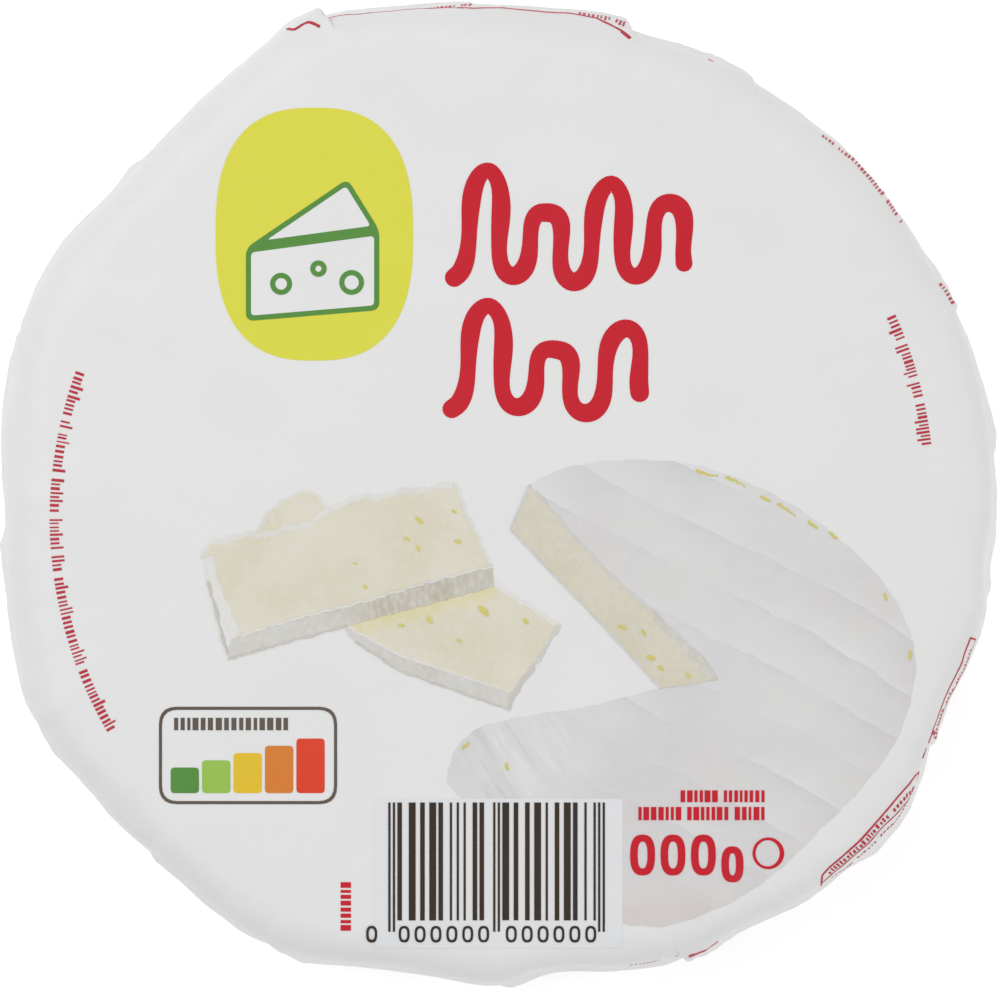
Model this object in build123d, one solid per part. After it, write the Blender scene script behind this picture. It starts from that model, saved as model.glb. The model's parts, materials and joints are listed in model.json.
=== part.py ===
"""A small brie wheel shut in its wrap: one soft, rounded wheel with folds down its side and under its base.

The frame is in millimetres, +Z up. The origin is the middle of the base, and +Y is the top of the printed face.
The wrap lies tight over the face. Down the side it has too much width, which is laid in knife folds that all
lean the same way. The folds run on under the base towards the middle, where they close.
"""

from build123d import *

import os
from math import cos, pi, radians, sin

# Driving dimensions of the wheel in its wrap.
HEIGHT = 32.0  # base to face
SHOULDER_ROUND = 5.5  # rounding between the side and the face
FOOT_ROUND = 4.0  # rounding between the side and the base
SIDE_BULGE = 0.9  # how far the side swells at half height

# The wheel seen from above is a circle pulled into soft corners, where the wrap bunches up.
# Each corner is an angle in degrees from +X, and how far it stands in or out of MEAN_RADIUS.
MEAN_RADIUS = 71.3
CORNERS = (
    (3.0, 0.3),
    (21.0, 0.2),
    (41.0, -0.8),
    (60.0, -0.7),
    (83.0, -1.0),
    (111.0, 3.6),
    (160.0, 2.4),
    (205.0, 3.7),
    (242.0, 1.9),
    (269.0, -1.6),
    (292.0, 0.6),
    (317.0, 3.9),
    (345.0, 0.3),
)
FLAT_FULLNESS = 0.57  # between two corners: 0 is a straight chord and 1 is a round arc
CORNER_SOFTNESS = 3.0  # degrees either side of a corner over which it is rounded

# The folds, each at the angle in degrees where it leaves the face. Most start at or beside a soft corner.
FOLDS = (3, 21, 40, 57, 73, 91, 111, 135, 160, 182, 205, 224, 242, 268, 296, 311, 329, 346)
FOLD_DEPTH = 1.2  # how far a fold stands out of the next one at the foot
FOLD_LEAN = 9.0  # degrees that a fold leans over on its way from the face to the base
FOLD_EDGE = 1.0  # degrees over which the surface steps out onto the next fold

# The base: the folds run in from a flat ring to the closed middle.
REST_RING_WIDTH = 6.0  # flat ring that carries the wheel, inside the foot's rounding
CLOSURE_RADIUS = 7.0  # flat middle where the folds meet
BASE_FOLD_DEPTH = 0.6  # how deep the base steps between two folds
BASE_FOLD_SWIRL = 24.0  # degrees that a fold turns on its way in to the middle

# How finely the surface follows the sizes above.
PANEL_POINTS = 9  # points along each panel of the outline, from one fold to the next
ARC_STEPS = 4  # strips up the shoulder's and up the foot's rounding
SIDE_STEPS = 6  # strips up the side between the two roundings


def corner_at(index):
    """Angle in degrees and radius of a corner, counted on past a full turn."""
    turns, place = divmod(index, len(CORNERS))
    angle, stands_out = CORNERS[place]
    return angle + 360.0 * turns, MEAN_RADIUS + stands_out


def sharp_radius(angle):
    """Radius of the outline before its corners are softened."""
    angle %= 360.0
    index = sum(corner_angle <= angle for corner_angle, _ in CORNERS) - 1
    first_angle, first_radius = corner_at(index)
    last_angle, last_radius = corner_at(index + 1)
    share = (angle - first_angle) / (last_angle - first_angle)
    arc = first_radius + share * (last_radius - first_radius)
    before, after = radians(angle - first_angle), radians(last_angle - angle)
    chord = first_radius * last_radius * sin(before + after)
    chord /= first_radius * sin(before) + last_radius * sin(after)
    return chord + FLAT_FULLNESS * (arc - chord)


def outline_radius(angle):
    """Radius of the wheel seen from above, with soft corners."""
    spread = (-1.0, -0.5, 0.0, 0.5, 1.0)
    return sum(sharp_radius(angle + step * CORNER_SOFTNESS) for step in spread) / len(spread)


def fold_angles(lean):
    """Angles of the folds once they have leaned over by so many degrees, in order and back to the first."""
    return [angle + lean for angle in (*FOLDS, FOLDS[0] + 360)]


def side_sections():
    """Sections from the base up to the face: height, how far in from the outline, and share of the way down."""
    quarter_turns = [pi / 2 * step / ARC_STEPS for step in range(ARC_STEPS + 1)]
    foot = [(FOOT_ROUND * (1 - cos(turn)), FOOT_ROUND * (1 - sin(turn))) for turn in quarter_turns]
    straight = HEIGHT - FOOT_ROUND - SHOULDER_ROUND
    side = []
    for step in range(1, SIDE_STEPS):
        share = step / SIDE_STEPS
        side.append((FOOT_ROUND + share * straight, -SIDE_BULGE * sin(pi * share) ** 2))
    shoulder = []
    for turn in quarter_turns:
        height = HEIGHT - SHOULDER_ROUND * (1 - sin(turn))
        shoulder.append((height, SHOULDER_ROUND * (1 - cos(turn))))
    rising = foot + side + shoulder
    last = len(rising) - 1
    return [(height, inset, 1 - place / last) for place, (height, inset) in enumerate(rising)]


def around(radius, angle, height):
    """A point at a radius and an angle in degrees."""
    return Vector(radius * cos(radians(angle)), radius * sin(radians(angle)), height)


def section_wire(height, inset, way_down):
    """Closed outline at one height: a smooth panel sinks from each fold to the next, then a short step out."""
    depth = FOLD_DEPTH * way_down
    angles = fold_angles(FOLD_LEAN * way_down)
    panels = []
    for start, end in zip(angles, angles[1:]):
        points = []
        for step in range(PANEL_POINTS):
            share = step / (PANEL_POINTS - 1)
            angle = start + share * (end - start - FOLD_EDGE)
            radius = outline_radius(angle) - inset + depth * (0.5 - share)
            points.append(around(radius, angle, height))
        panels.append(points)
    # The first panel is cut in half, so that every section starts far from a fold and the strips join up.
    middle = PANEL_POINTS // 2
    edges = [Edge.make_spline(panels[0][middle:])]
    for before, points in zip(panels, panels[1:]):
        edges.append(Edge.make_line(before[-1], points[0]))
        edges.append(Edge.make_spline(points))
    edges.append(Edge.make_line(panels[-1][-1], panels[0][0]))
    edges.append(Edge.make_spline(panels[0][: middle + 1]))
    return Wire(edges)


def base_wedge(start, end):
    """Wedge cut out of the base between two folds: nothing deep at the first, and deepest at the second."""
    ring_radius = MEAN_RADIUS - FOOT_ROUND - REST_RING_WIDTH
    flat = [
        around(ring_radius, start, 0.0),
        around(ring_radius, end, 0.0),
        around(CLOSURE_RADIUS, end + BASE_FOLD_SWIRL, 0.0),
        around(CLOSURE_RADIUS, start + BASE_FOLD_SWIRL, 0.0),
    ]
    rise = Vector(0, 0, BASE_FOLD_DEPTH)
    roof = [flat[0], flat[1] + rise, flat[2] + rise, flat[3]]
    outlines = [
        flat,
        [flat[0], flat[1], roof[1]],
        [flat[1], flat[2], roof[2], roof[1]],
        [flat[2], flat[3], roof[2]],
        [roof[0], roof[1], roof[2]],
        [roof[0], roof[2], roof[3]],
    ]
    return Solid(Shell([Face(Wire.make_polygon(outline, close=True)) for outline in outlines]))


def wrapped_wheel():
    """The whole wheel in its wrap, standing on its base, with the middle of its box at the origin."""
    body = Solid.make_loft([section_wire(*section) for section in side_sections()], ruled=True)
    angles = fold_angles(FOLD_LEAN)
    for start, end in zip(angles, angles[1:]):
        body -= base_wedge(start, end)
    middle = body.bounding_box().center()
    return body.moved(Location((-middle.X, -middle.Y, 0.0)))


wheel = wrapped_wheel()
os.makedirs("parts", exist_ok=True)
export_step(wheel, "parts/wrapped_wheel.step")
size = wheel.bounding_box().size
print(f"wrapped wheel {size.X:.1f} x {size.Y:.1f} x {size.Z:.1f} mm, {wheel.volume / 1000:.0f} cm3")
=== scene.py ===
# %% [markdown]
# # A small brie, shut in its printed wrap
# The cheese is a soft round wheel. Around it lies one sheet of thin white film: tight over the face, folded
# in knife folds down the side, and gathered under the base. Everything one sees is that film and its ink.
# A maker prints the sheet flat and then folds it round the cheese, and this script works in the same order.
# First it draws each thing flat, as the sheet would lie on a table. Then one Geometry Nodes tree folds them
# all, film and ink alike, so the ink always lies on the film.

# %% Load the frame
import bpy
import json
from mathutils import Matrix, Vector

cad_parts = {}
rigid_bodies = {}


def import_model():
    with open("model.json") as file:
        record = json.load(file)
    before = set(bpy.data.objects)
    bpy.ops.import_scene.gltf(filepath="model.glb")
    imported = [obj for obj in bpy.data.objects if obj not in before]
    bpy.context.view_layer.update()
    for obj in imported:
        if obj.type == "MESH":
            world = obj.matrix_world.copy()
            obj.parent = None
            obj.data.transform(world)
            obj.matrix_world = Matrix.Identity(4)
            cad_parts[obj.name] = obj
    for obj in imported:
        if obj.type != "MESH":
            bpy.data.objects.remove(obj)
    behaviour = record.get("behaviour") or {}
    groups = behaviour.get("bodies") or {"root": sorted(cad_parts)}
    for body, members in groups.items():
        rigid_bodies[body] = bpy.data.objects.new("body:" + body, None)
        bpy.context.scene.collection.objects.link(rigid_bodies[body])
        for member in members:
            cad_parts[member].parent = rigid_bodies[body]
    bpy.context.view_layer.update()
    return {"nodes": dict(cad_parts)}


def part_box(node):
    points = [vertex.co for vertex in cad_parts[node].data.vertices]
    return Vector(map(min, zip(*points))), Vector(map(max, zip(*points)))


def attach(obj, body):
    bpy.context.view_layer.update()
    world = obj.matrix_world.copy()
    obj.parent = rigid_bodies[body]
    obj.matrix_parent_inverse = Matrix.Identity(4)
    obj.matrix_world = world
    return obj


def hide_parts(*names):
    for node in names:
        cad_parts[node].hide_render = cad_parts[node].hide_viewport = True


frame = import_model()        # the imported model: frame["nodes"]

# %% Tools and units
import json
from functools import reduce
from math import cos, pi, radians, sin

import bpy
import numpy as np
from mathutils import Vector
from mathutils.bvhtree import BVHTree
from mathutils.geometry import delaunay_2d_cdt

MM = 0.001  # the scene is in metres, and print and film are easier to think of in millimetres
low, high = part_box("wrapped_wheel")
HEIGHT = high.z - low.z
print(f"the wheel is {HEIGHT / MM:.1f} mm high")

# %% Sums that come back often


def smooth(value, start, end):
    """0 before start, 1 after end, and an even rise between them."""
    share = np.clip((value - start) / (end - start), 0.0, 1.0)
    return share * share * (3 - 2 * share)


def turn_between(degrees, angle):
    """The turn from an angle to others, from -180 to 180 degrees."""
    return np.mod(degrees - angle + 180.0, 360.0) - 180.0


def at_angles(degrees, radius):
    """Flat places at angles in degrees and distances from the middle."""
    turns = np.radians(degrees)
    return np.column_stack((radius * np.cos(turns), radius * np.sin(turns)))


def angles_of(places):
    """Angle in degrees, and distance from the middle, of flat places."""
    x, y = places[:, 0], places[:, 1]
    return np.degrees(np.arctan2(y, x)), np.hypot(x, y)


def lengths_along(line):
    """Length along a line up to each of its points."""
    return np.concatenate(([0.0], np.cumsum(np.linalg.norm(np.diff(line, axis=0), axis=1))))


print("a turn from 350 to 10 degrees:", turn_between(10.0, 350.0))

# %% [markdown]
# ## The outline of the wheel
# Seen from above, the wheel isn't a circle: the film pulls it into about a dozen soft corners. The solid
# model has that outline already, so it is read from there. A ray goes out from the middle at each half
# degree, just under the shoulder, and an average over a few degrees takes out the small steps of the folds.

# %% Read the outline off the solid wheel
SHOULDER = 5.5 * MM  # rounding between the face and the side
FOOT = 4.0 * MM  # rounding between the side and the base
BULGE = 0.9 * MM  # how far the side swells at half height
RAYS = 720
SMOOTHING = 9  # rays in each average


def read_outline(solid, height):
    """Radius of the wheel at each half degree, a little smoothed."""
    mesh = solid.data
    tree = BVHTree.FromPolygons([v.co for v in mesh.vertices], [list(p.vertices) for p in mesh.polygons])
    start = Vector((0.0, 0.0, height))
    radii = []
    for ray in range(RAYS):
        turn = 2 * pi * ray / RAYS
        hit = tree.ray_cast(start, Vector((cos(turn), sin(turn), 0.0)))[0]
        radii.append((hit - start).length)
    half = SMOOTHING // 2
    padded = np.array(radii[-half:] + radii + radii[:half])
    return np.convolve(padded, np.ones(SMOOTHING) / SMOOTHING, mode="valid")


OUTLINE = read_outline(frame["nodes"]["wrapped_wheel"], HEIGHT - SHOULDER)
RAY_ANGLES = np.arange(RAYS + 1) * 360.0 / RAYS
print(f"outline radius {OUTLINE.min() / MM:.1f} to {OUTLINE.max() / MM:.1f} mm")


def outline_at(degrees):
    """Radius of the outline at angles in degrees from +X, as an array."""
    return np.interp(np.mod(degrees, 360.0), RAY_ANGLES, np.append(OUTLINE, OUTLINE[0]))


# %% [markdown]
# ## The way down
# From the edge of the face, the film goes over the shoulder, down the side, round the foot and in under the
# base. One length says where a point lies on that way: how far it is past the edge of the face. The profile
# below is the way itself, drawn once as a curve. Its x is the distance out from the outline, and its z the
# height.

# %% Draw the profile
SIDE_LENGTH = HEIGHT - SHOULDER - FOOT
PAST_SHOULDER = SHOULDER * pi / 2
PAST_SIDE = PAST_SHOULDER + SIDE_LENGTH
PAST_FOOT = PAST_SIDE + FOOT * pi / 2
FILM_RADIUS = 80 * MM  # longer than any way from the foot to the middle of the base
ROUND_POINTS = 13  # points of the profile in the shoulder, and as many in the foot
SIDE_STEPS = 18  # steps of the profile down the side


def profile_points():
    """Points of the profile from the edge of the face to past the middle of the base."""
    turns = np.linspace(0, pi / 2, ROUND_POINTS)
    shares = np.linspace(0, 1, SIDE_STEPS + 1)[1:-1]
    shoulder = [(SHOULDER * (sin(t) - 1), HEIGHT - SHOULDER * (1 - cos(t))) for t in turns]
    side = [(BULGE * sin(pi * s) ** 2, HEIGHT - SHOULDER - s * SIDE_LENGTH) for s in shares]
    foot = [(-FOOT * (1 - cos(t)), FOOT * (1 - sin(t))) for t in turns]
    return [*shoulder, *side, *foot, (-FOOT - FILM_RADIUS, 0.0)]


def curve_object(name, points):
    """A helper curve through points, with straight pieces. Node trees read it, and then it is removed."""
    curve = bpy.data.curves.new(name, "CURVE")
    curve.dimensions = "3D"
    spline = curve.splines.new("POLY")
    spline.points.add(len(points) - 1)
    for place, point in zip(spline.points, points):
        place.co = (*point, 1.0)
    piece = bpy.data.objects.new(name, curve)
    bpy.context.scene.collection.objects.link(piece)
    return piece


profile = curve_object("profile", [(x, 0.0, z) for x, z in profile_points()])
for part, end in (("shoulder", PAST_SHOULDER), ("side", PAST_SIDE), ("foot", PAST_FOOT)):
    print(f"the {part} ends {end / MM:.1f} mm past the edge of the face")

# %% [markdown]
# ## The folds
# The round sheet has far more edge than the wheel's side needs. The machine lays the extra width over in
# knife folds, like a pleated skirt. A fold's free edge, its lip, stands proud at its clockwise end, and the
# film sinks from there until it slips under the next lip. Each fold starts at its own distance past the edge
# of the face, and one of them stands up as a small ear at the upper left.

# %% Name the folds and say how the film sinks from one to the next
# Angle in degrees where it leaves the face, millimetres past the edge where it starts, depth and ear in
# millimetres, and degrees that it leans over on its way down.
FOLDS = (
    (3, 8.0, 0.7, 0.1, 8),
    (21, 5.5, 0.9, 0.3, 10),
    (40, 8.5, 0.6, 0.1, 7),
    (57, 5.5, 0.9, 0.3, 11),
    (73, 5.5, 1.0, 0.3, 9),
    (91, 9.5, 0.4, 0.0, 8),
    (109.4, 3.2, 1.1, 0.9, 8),
    (135, 8.0, 0.7, 0.1, 7),
    (160, 6.0, 0.9, 0.2, 10),
    (182, 8.5, 0.6, 0.1, 8),
    (205, 6.0, 0.9, 0.2, 11),
    (224, 8.0, 0.7, 0.1, 7),
    (242, 5.5, 0.9, 0.2, 10),
    (268, 8.0, 0.7, 0.1, 9),
    (291, 3.6, 1.0, 0.4, 8),
    (311, 7.0, 0.8, 0.1, 11),
    (329, 5.0, 0.9, 0.3, 9),
    (346, 8.5, 0.7, 0.1, 8),
)
FOLD_ANGLE, FOLD_START, FOLD_DEPTH, FOLD_EAR, FOLD_TURN = np.array(FOLDS, float).T
RAMP = 6.0  # millimetres over which a fold rises from nothing to its depth
BASE_SHARE = 0.55  # how deep the folds are on the base, where the weight presses them
CLOSURE_RADIUS = 8 * MM  # flat, sealed middle of the base
BASE_SWIRL = 26.0  # degrees that the folds turn on the base, on their way in to the middle
SWIRL_RADIUS = 60 * MM  # where on the base that turn begins
EAR_SHARE = 0.22  # share of a panel over which its lip curls out
EAR_TOP = 5.0  # millimetres past a fold's start where its ear is highest
EAR_SPREAD = 4.5  # millimetres over which the ear falls away from there
EAR_REST = 0.25  # share of the ear that is left further down


def way_down(past):
    """0 at the edge of the face, 1 at the end of the foot."""
    return smooth(past, 0.0, PAST_FOOT)


def fold_angles(past, radius):
    """Angle of every fold at points that lie so far past the edge, at such a radius on the solid wheel."""
    swirl = BASE_SWIRL * (1 - np.clip(radius / SWIRL_RADIUS, 0, 1)) * (past > PAST_FOOT)
    return FOLD_ANGLE[None, :] + way_down(past)[:, None] * FOLD_TURN[None, :] + swirl[:, None]


PROFILE = np.array(profile_points())
PROFILE_LENGTHS = lengths_along(PROFILE)
BASE_START = PROFILE_LENGTHS[-2]  # length of the drawn profile up to the flat of the base


def solid_radius(degrees, past):
    """Distance from the wheel's axis, for points past the edge of the face."""
    return outline_at(degrees) + np.interp(past, PROFILE_LENGTHS, PROFILE[:, 0]) + np.minimum(past, 0.0)


def open_share(radius):
    """0 on the sealed middle, where the film is flat, and 1 further out."""
    return smooth(radius, CLOSURE_RADIUS * 0.7, CLOSURE_RADIUS * 1.6)


def fold_depth(past, radius):
    """How deep each fold is, in metres."""
    rise = smooth(past[:, None] / MM, FOLD_START, FOLD_START + RAMP)
    pressed = 1 - (1 - BASE_SHARE) * smooth(past, PAST_SIDE, PAST_FOOT)
    return rise * FOLD_DEPTH * MM * (pressed * open_share(radius))[:, None]


def ear_height(past):
    """How far each lip curls out, in metres. The curl is strongest just past where the fold starts."""
    past_mm = past[:, None] / MM
    top = FOLD_START + EAR_TOP
    curl = np.exp(-((past_mm - top) / EAR_SPREAD) ** 2) + EAR_REST * smooth(past_mm, top, top + 6)
    begun = smooth(past_mm, FOLD_START, FOLD_START + 3.0)
    return FOLD_EAR * MM * curl * begun * (1 - smooth(past, PAST_SIDE - 3 * MM, PAST_SIDE))[:, None]


def lie_in_folds(degrees, past):
    """For points on the film: the fold behind each, its share of the way to the next lip, and how far it
    stands out of the smooth wheel."""
    radius = solid_radius(degrees, past)
    behind = np.mod(degrees[:, None] - fold_angles(past, radius), 360.0)
    fold = behind.argmin(axis=1)
    rows = np.arange(len(degrees))
    following = (fold + 1) % len(FOLDS)
    ahead = np.mod(fold_angles(past, radius)[rows, following] - degrees, 360.0)
    share = behind[rows, fold] / (behind[rows, fold] + ahead)
    return fold, share, stand_out(fold, share, past, radius)


def stand_out(fold, share, past, radius):
    """How far the film stands out of the smooth wheel: up at a fold's lip, and down where it slips under
    the next."""
    rows = np.arange(len(past))
    depth = fold_depth(past, radius)
    proud = 0.5 * (1 - smooth(past, PAST_SIDE, PAST_FOOT))
    top = depth[rows, fold] * proud
    bottom = -depth[rows, (fold + 1) % len(FOLDS)] * (1 - proud)
    curl = ear_height(past)[rows, fold] * np.clip(1 - share / EAR_SHARE, 0, 1) ** 2
    return top + share * (bottom - top) + curl


print(f"{len(FOLDS)} folds, up to {FOLD_DEPTH.max():.1f} mm deep")

# %% [markdown]
# ## Where the film is slack
# Over the face the film is drum tight. Past the edge it has too much width, so it creases, and most of all
# beside the folds. Two numbers say so at each point: slack is for the fine creases that run down the side,
# and give is for the wide, soft dents that the cheese below lets the film make.

# %% Say how slack the film is
CREASE_SPAN = 7.0  # degrees to each side of a fold over which creases fade
FAR_SLACK = 0.35  # slack between the folds, where it is 1 beside them
FACE_GIVE = 0.25  # give on the face, where it is 1 past the shoulder


def slackness(degrees, past):
    """Slack, for creases, and give, for dents, each from 0 to 1."""
    radius = solid_radius(degrees, past)
    away = np.abs(turn_between(degrees[:, None], fold_angles(past, radius))).min(axis=1)
    beside = FAR_SLACK + (1 - FAR_SLACK) * np.exp(-(away / CREASE_SPAN) ** 2)
    tight = smooth(past, -9 * MM, 4 * MM)
    on_base = smooth(past, PAST_SIDE, PAST_FOOT)
    sealed = on_base * (1 - open_share(radius))
    slack = tight * beside * (1 - 0.5 * on_base) * (1 - sealed)
    loose = FACE_GIVE + (1 - FACE_GIVE) * smooth(past, -14 * MM, 6 * MM)
    return slack, loose * (1 - 0.9 * on_base) * (1 - sealed)


for past in (0.0, PAST_SHOULDER, PAST_SIDE):
    slack, give = slackness(np.zeros(1), np.full(1, past))
    print(f"{past / MM:.0f} mm past the edge of the face, slack is {slack[0]:.2f} and give {give[0]:.2f}")

# %% Name the single creases and the places where the film stands off
# The creases that one sees from above, each with its angle, where it starts past the edge of the face, its
# length and width in millimetres, its slant in degrees, and its height in millimetres.
CREASES = (
    (243.0, 0.5, 9.0, 0.8, 6, 0.30),
    (299.5, -2.5, 10.5, 1.6, -20, 0.20),
    (304.5, -4.0, 9.0, 2.4, -52, 0.15),
    (301.0, -4.0, 9.0, 2.4, -54, -0.11),
    (296.2, 1.2, 8.0, 1.3, -40, 0.26),
    (294.0, -1.5, 8.0, 1.0, 10, -0.22),
    (288.0, -1.0, 9.0, 1.1, 24, 0.25),
    (284.0, 1.0, 8.0, 1.0, -8, 0.20),
    (303.0, 0.0, 8.0, 1.0, 16, 0.22),
    (20.0, 1.0, 8.0, 1.1, 20, 0.22),
    (57.0, 1.5, 7.0, 1.1, -18, 0.22),
    (330.0, 0.5, 8.0, 1.1, -20, 0.25),
    (205.5, 0.5, 8.0, 1.2, 8, 0.22),
    (160.5, 0.5, 8.0, 1.2, -8, 0.22),
    (316.0, 1.5, 7.0, 1.1, 10, 0.20),
    (107.5, 0.5, 7.0, 1.2, 24, 0.22),
)
# Where the film stands off the cheese, or is drawn in closer: angle, spread in degrees, millimetres.
LOOSE_CORNERS = (
    (112, 5, 0.5), (142, 5, -0.7), (152, 9, 1.3), (166, 4, -0.2), (172, 5, 0.4), (202, 6, 0.6),
    (80, 12, 0.5), (213, 7, -0.7), (230, 5, -0.8), (256, 7, -0.9), (270, 4, 1.0), (277, 6, -1.7),
    (300, 5, -1.4), (314, 6, -1.2), (334, 6, -1.8), (346, 3, 0.6), (351, 3, -0.6), (27, 6, -0.6),
)
# Where the shoulder is full, so that the wheel is widest just below it: angle, spread, millimetres, and how
# far past the edge of the face it is fullest.
FULL_SHOULDERS = (
    (41, 9, 0.75, 8.5), (23, 4, 0.6, 8.5), (336, 8, 0.5, 8.5), (78, 7, 0.9, 12.0), (90, 6, 0.6, 12.0),
)
FULL_SPREAD = 3.7  # millimetres up and down over which a full shoulder fades


def bump(degrees, angle, spread, height):
    """Height, in metres, of a smooth bump on the rim."""
    return height * MM * np.exp(-(turn_between(degrees, angle) / spread) ** 2)


def corner_height(degrees, past):
    """How far the film stands off at the corners, in metres: nothing on the face, most along the side."""
    side = smooth(past, 1 * MM, PAST_SHOULDER) * (1 - smooth(past, PAST_SIDE - 6 * MM, PAST_FOOT))
    total = sum(bump(degrees, *corner) for corner in LOOSE_CORNERS) * side
    for *corner, fullest in FULL_SHOULDERS:
        down = np.exp(-((past / MM - fullest) / FULL_SPREAD) ** 2) * smooth(past, 2 * MM, 6 * MM)
        total += bump(degrees, *corner) * down
    return total


def crease_height(degrees, past):
    """Height of the single creases at each point, in metres."""
    total = np.zeros(len(degrees))
    for angle, start, length, width, slant, height in CREASES:
        down = past / MM - start
        across = radians(1.0) * turn_between(degrees, angle) * outline_at(degrees) / MM
        across = across - down * np.tan(radians(slant))
        along = smooth(down, 0.0, 2.0) * (1 - smooth(down, length - 4.0, length))
        total += height * MM * along * np.exp(-(across / width) ** 2)
    return total


print(f"{len(CREASES)} single creases on the rim")

# %% [markdown]
# ## Small helpers for node trees
# A Geometry Nodes tree is a recipe of nodes. Written in code, each node is a line. These helpers make a
# tree with named inputs, add a node with its settings, and join sockets or set their values. The most used
# sums have a helper each, so that a line reads like the sum it does.

# %% Helpers for Geometry Nodes


def new_tree(name, inputs):
    """A tree with a geometry in and out, and named inputs: (name, socket type, value)."""
    tree = bpy.data.node_groups.new(name, "GeometryNodeTree")
    tree.interface.new_socket("Geometry", in_out="INPUT", socket_type="NodeSocketGeometry")
    for label, kind, value in inputs:
        socket = tree.interface.new_socket(label, in_out="INPUT", socket_type=kind)
        if value is not None:
            socket.default_value = value
    tree.interface.new_socket("Geometry", in_out="OUTPUT", socket_type="NodeSocketGeometry")
    return tree, tree.nodes.new("NodeGroupInput").outputs, tree.nodes.new("NodeGroupOutput").inputs


def feed(tree, socket, value):
    """Links a socket to another one, or sets its value."""
    if isinstance(value, bpy.types.NodeSocket):
        tree.links.new(value, socket)
    elif value is not None:
        socket.default_value = value


def enabled(sockets):
    """The sockets that the settings of their node leave in use."""
    return [socket for socket in sockets if socket.enabled]


def node(tree, kind, *values, **settings):
    """A node with its settings, its first input sockets fed in order. None leaves a socket as it is."""
    made = tree.nodes.new(kind)
    for label, value in settings.items():
        setattr(made, label, value)
    for socket, value in zip(enabled(made.inputs), values):
        feed(tree, socket, value)
    return made


def by_name(tree, kind, inputs, **settings):
    """A node with its settings, its inputs fed by name."""
    made = node(tree, kind, **settings)
    for label, value in inputs.items():
        feed(tree, made.inputs[label], value)
    return made


def maths(tree, operation, *values):
    """The answer of a Math node."""
    return node(tree, "ShaderNodeMath", *values, operation=operation).outputs[0]


def times(tree, *values):
    """The product of numbers."""
    return reduce(lambda one, other: maths(tree, "MULTIPLY", one, other), values)


def plus(tree, *values):
    """The sum of numbers."""
    return reduce(lambda one, other: maths(tree, "ADD", one, other), values)


def minus(tree, one, other):
    """One number less another."""
    return maths(tree, "SUBTRACT", one, other)


def vector(tree, operation, *values):
    """The answer of a Vector Math node that gives a vector."""
    return node(tree, "ShaderNodeVectorMath", *values, operation=operation).outputs["Vector"]


def distance(tree, operation, *values):
    """The answer of a Vector Math node that gives a number."""
    return node(tree, "ShaderNodeVectorMath", *values, operation=operation).outputs["Value"]


def stretched(tree, direction, amount):
    """A vector times a number."""
    inputs = {"Vector": direction, "Scale": amount}
    return by_name(tree, "ShaderNodeVectorMath", inputs, operation="SCALE").outputs["Vector"]


def xyz(tree, *values):
    """A vector from its three numbers. Those left out are 0."""
    return node(tree, "ShaderNodeCombineXYZ", *values).outputs[0]


def parts(tree, place):
    """The three numbers of a vector."""
    return node(tree, "ShaderNodeSeparateXYZ", place).outputs


def curve_spot(tree, helper, length):
    """Outputs of the node that reads a place so far along a helper curve, and the curve itself."""
    curve = node(tree, "GeometryNodeObjectInfo", helper).outputs["Geometry"]
    sample = by_name(tree, "GeometryNodeSampleCurve", {"Curves": curve, "Length": length}, mode="LENGTH")
    return sample.outputs, curve


def attribute(tree, name):
    """A named number that each point carries."""
    made = by_name(tree, "GeometryNodeInputNamedAttribute", {"Name": name}, data_type="FLOAT")
    return made.outputs["Attribute"]


def run_tree(piece, tree, **inputs):
    """Runs a tree on a piece and keeps the result as its plain mesh. Inputs are given by name."""
    modifier = piece.modifiers.new(tree.name, "NODES")
    modifier.node_group = tree
    wanted = {label.replace("_", " ").capitalize(): value for label, value in inputs.items()}
    for item in tree.interface.items_tree:
        if item.item_type == "SOCKET" and item.in_out == "INPUT" and item.name in wanted:
            modifier[item.identifier] = wanted.pop(item.name)
    assert not wanted, wanted
    evaluated = piece.evaluated_get(bpy.context.evaluated_depsgraph_get())
    mesh = bpy.data.meshes.new_from_object(evaluated)
    piece.modifiers.remove(modifier)
    old = piece.data
    piece.data = mesh
    mesh.name = piece.name
    bpy.data.meshes.remove(old)


trial = new_tree("trial", [])[0]
adding = node(trial, "ShaderNodeMath", operation="ADD")
print("a node that adds has", len(enabled(adding.inputs)), "of its", len(adding.inputs), "inputs in use")
bpy.data.node_groups.remove(trial)

# %% [markdown]
# ## The tree that folds the sheet round the wheel
# A flat piece comes in with x and y on the sheet and z as its height over the film. The tree finds how far
# each point lies past the edge of the face, reads the place and the direction at that length of the
# profile, and turns them about the axis. Noise, stretched along the way down, makes the creases, and a
# rounder noise makes the dents. The noise is read at the same places for film and ink, so both move alike.

# %% Build the folding tree
RIM_RADIUS = 72 * MM  # of the wheel, to make creases as wide as their input says
MERGE = 0.0005 * MM  # points closer than this are one


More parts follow.
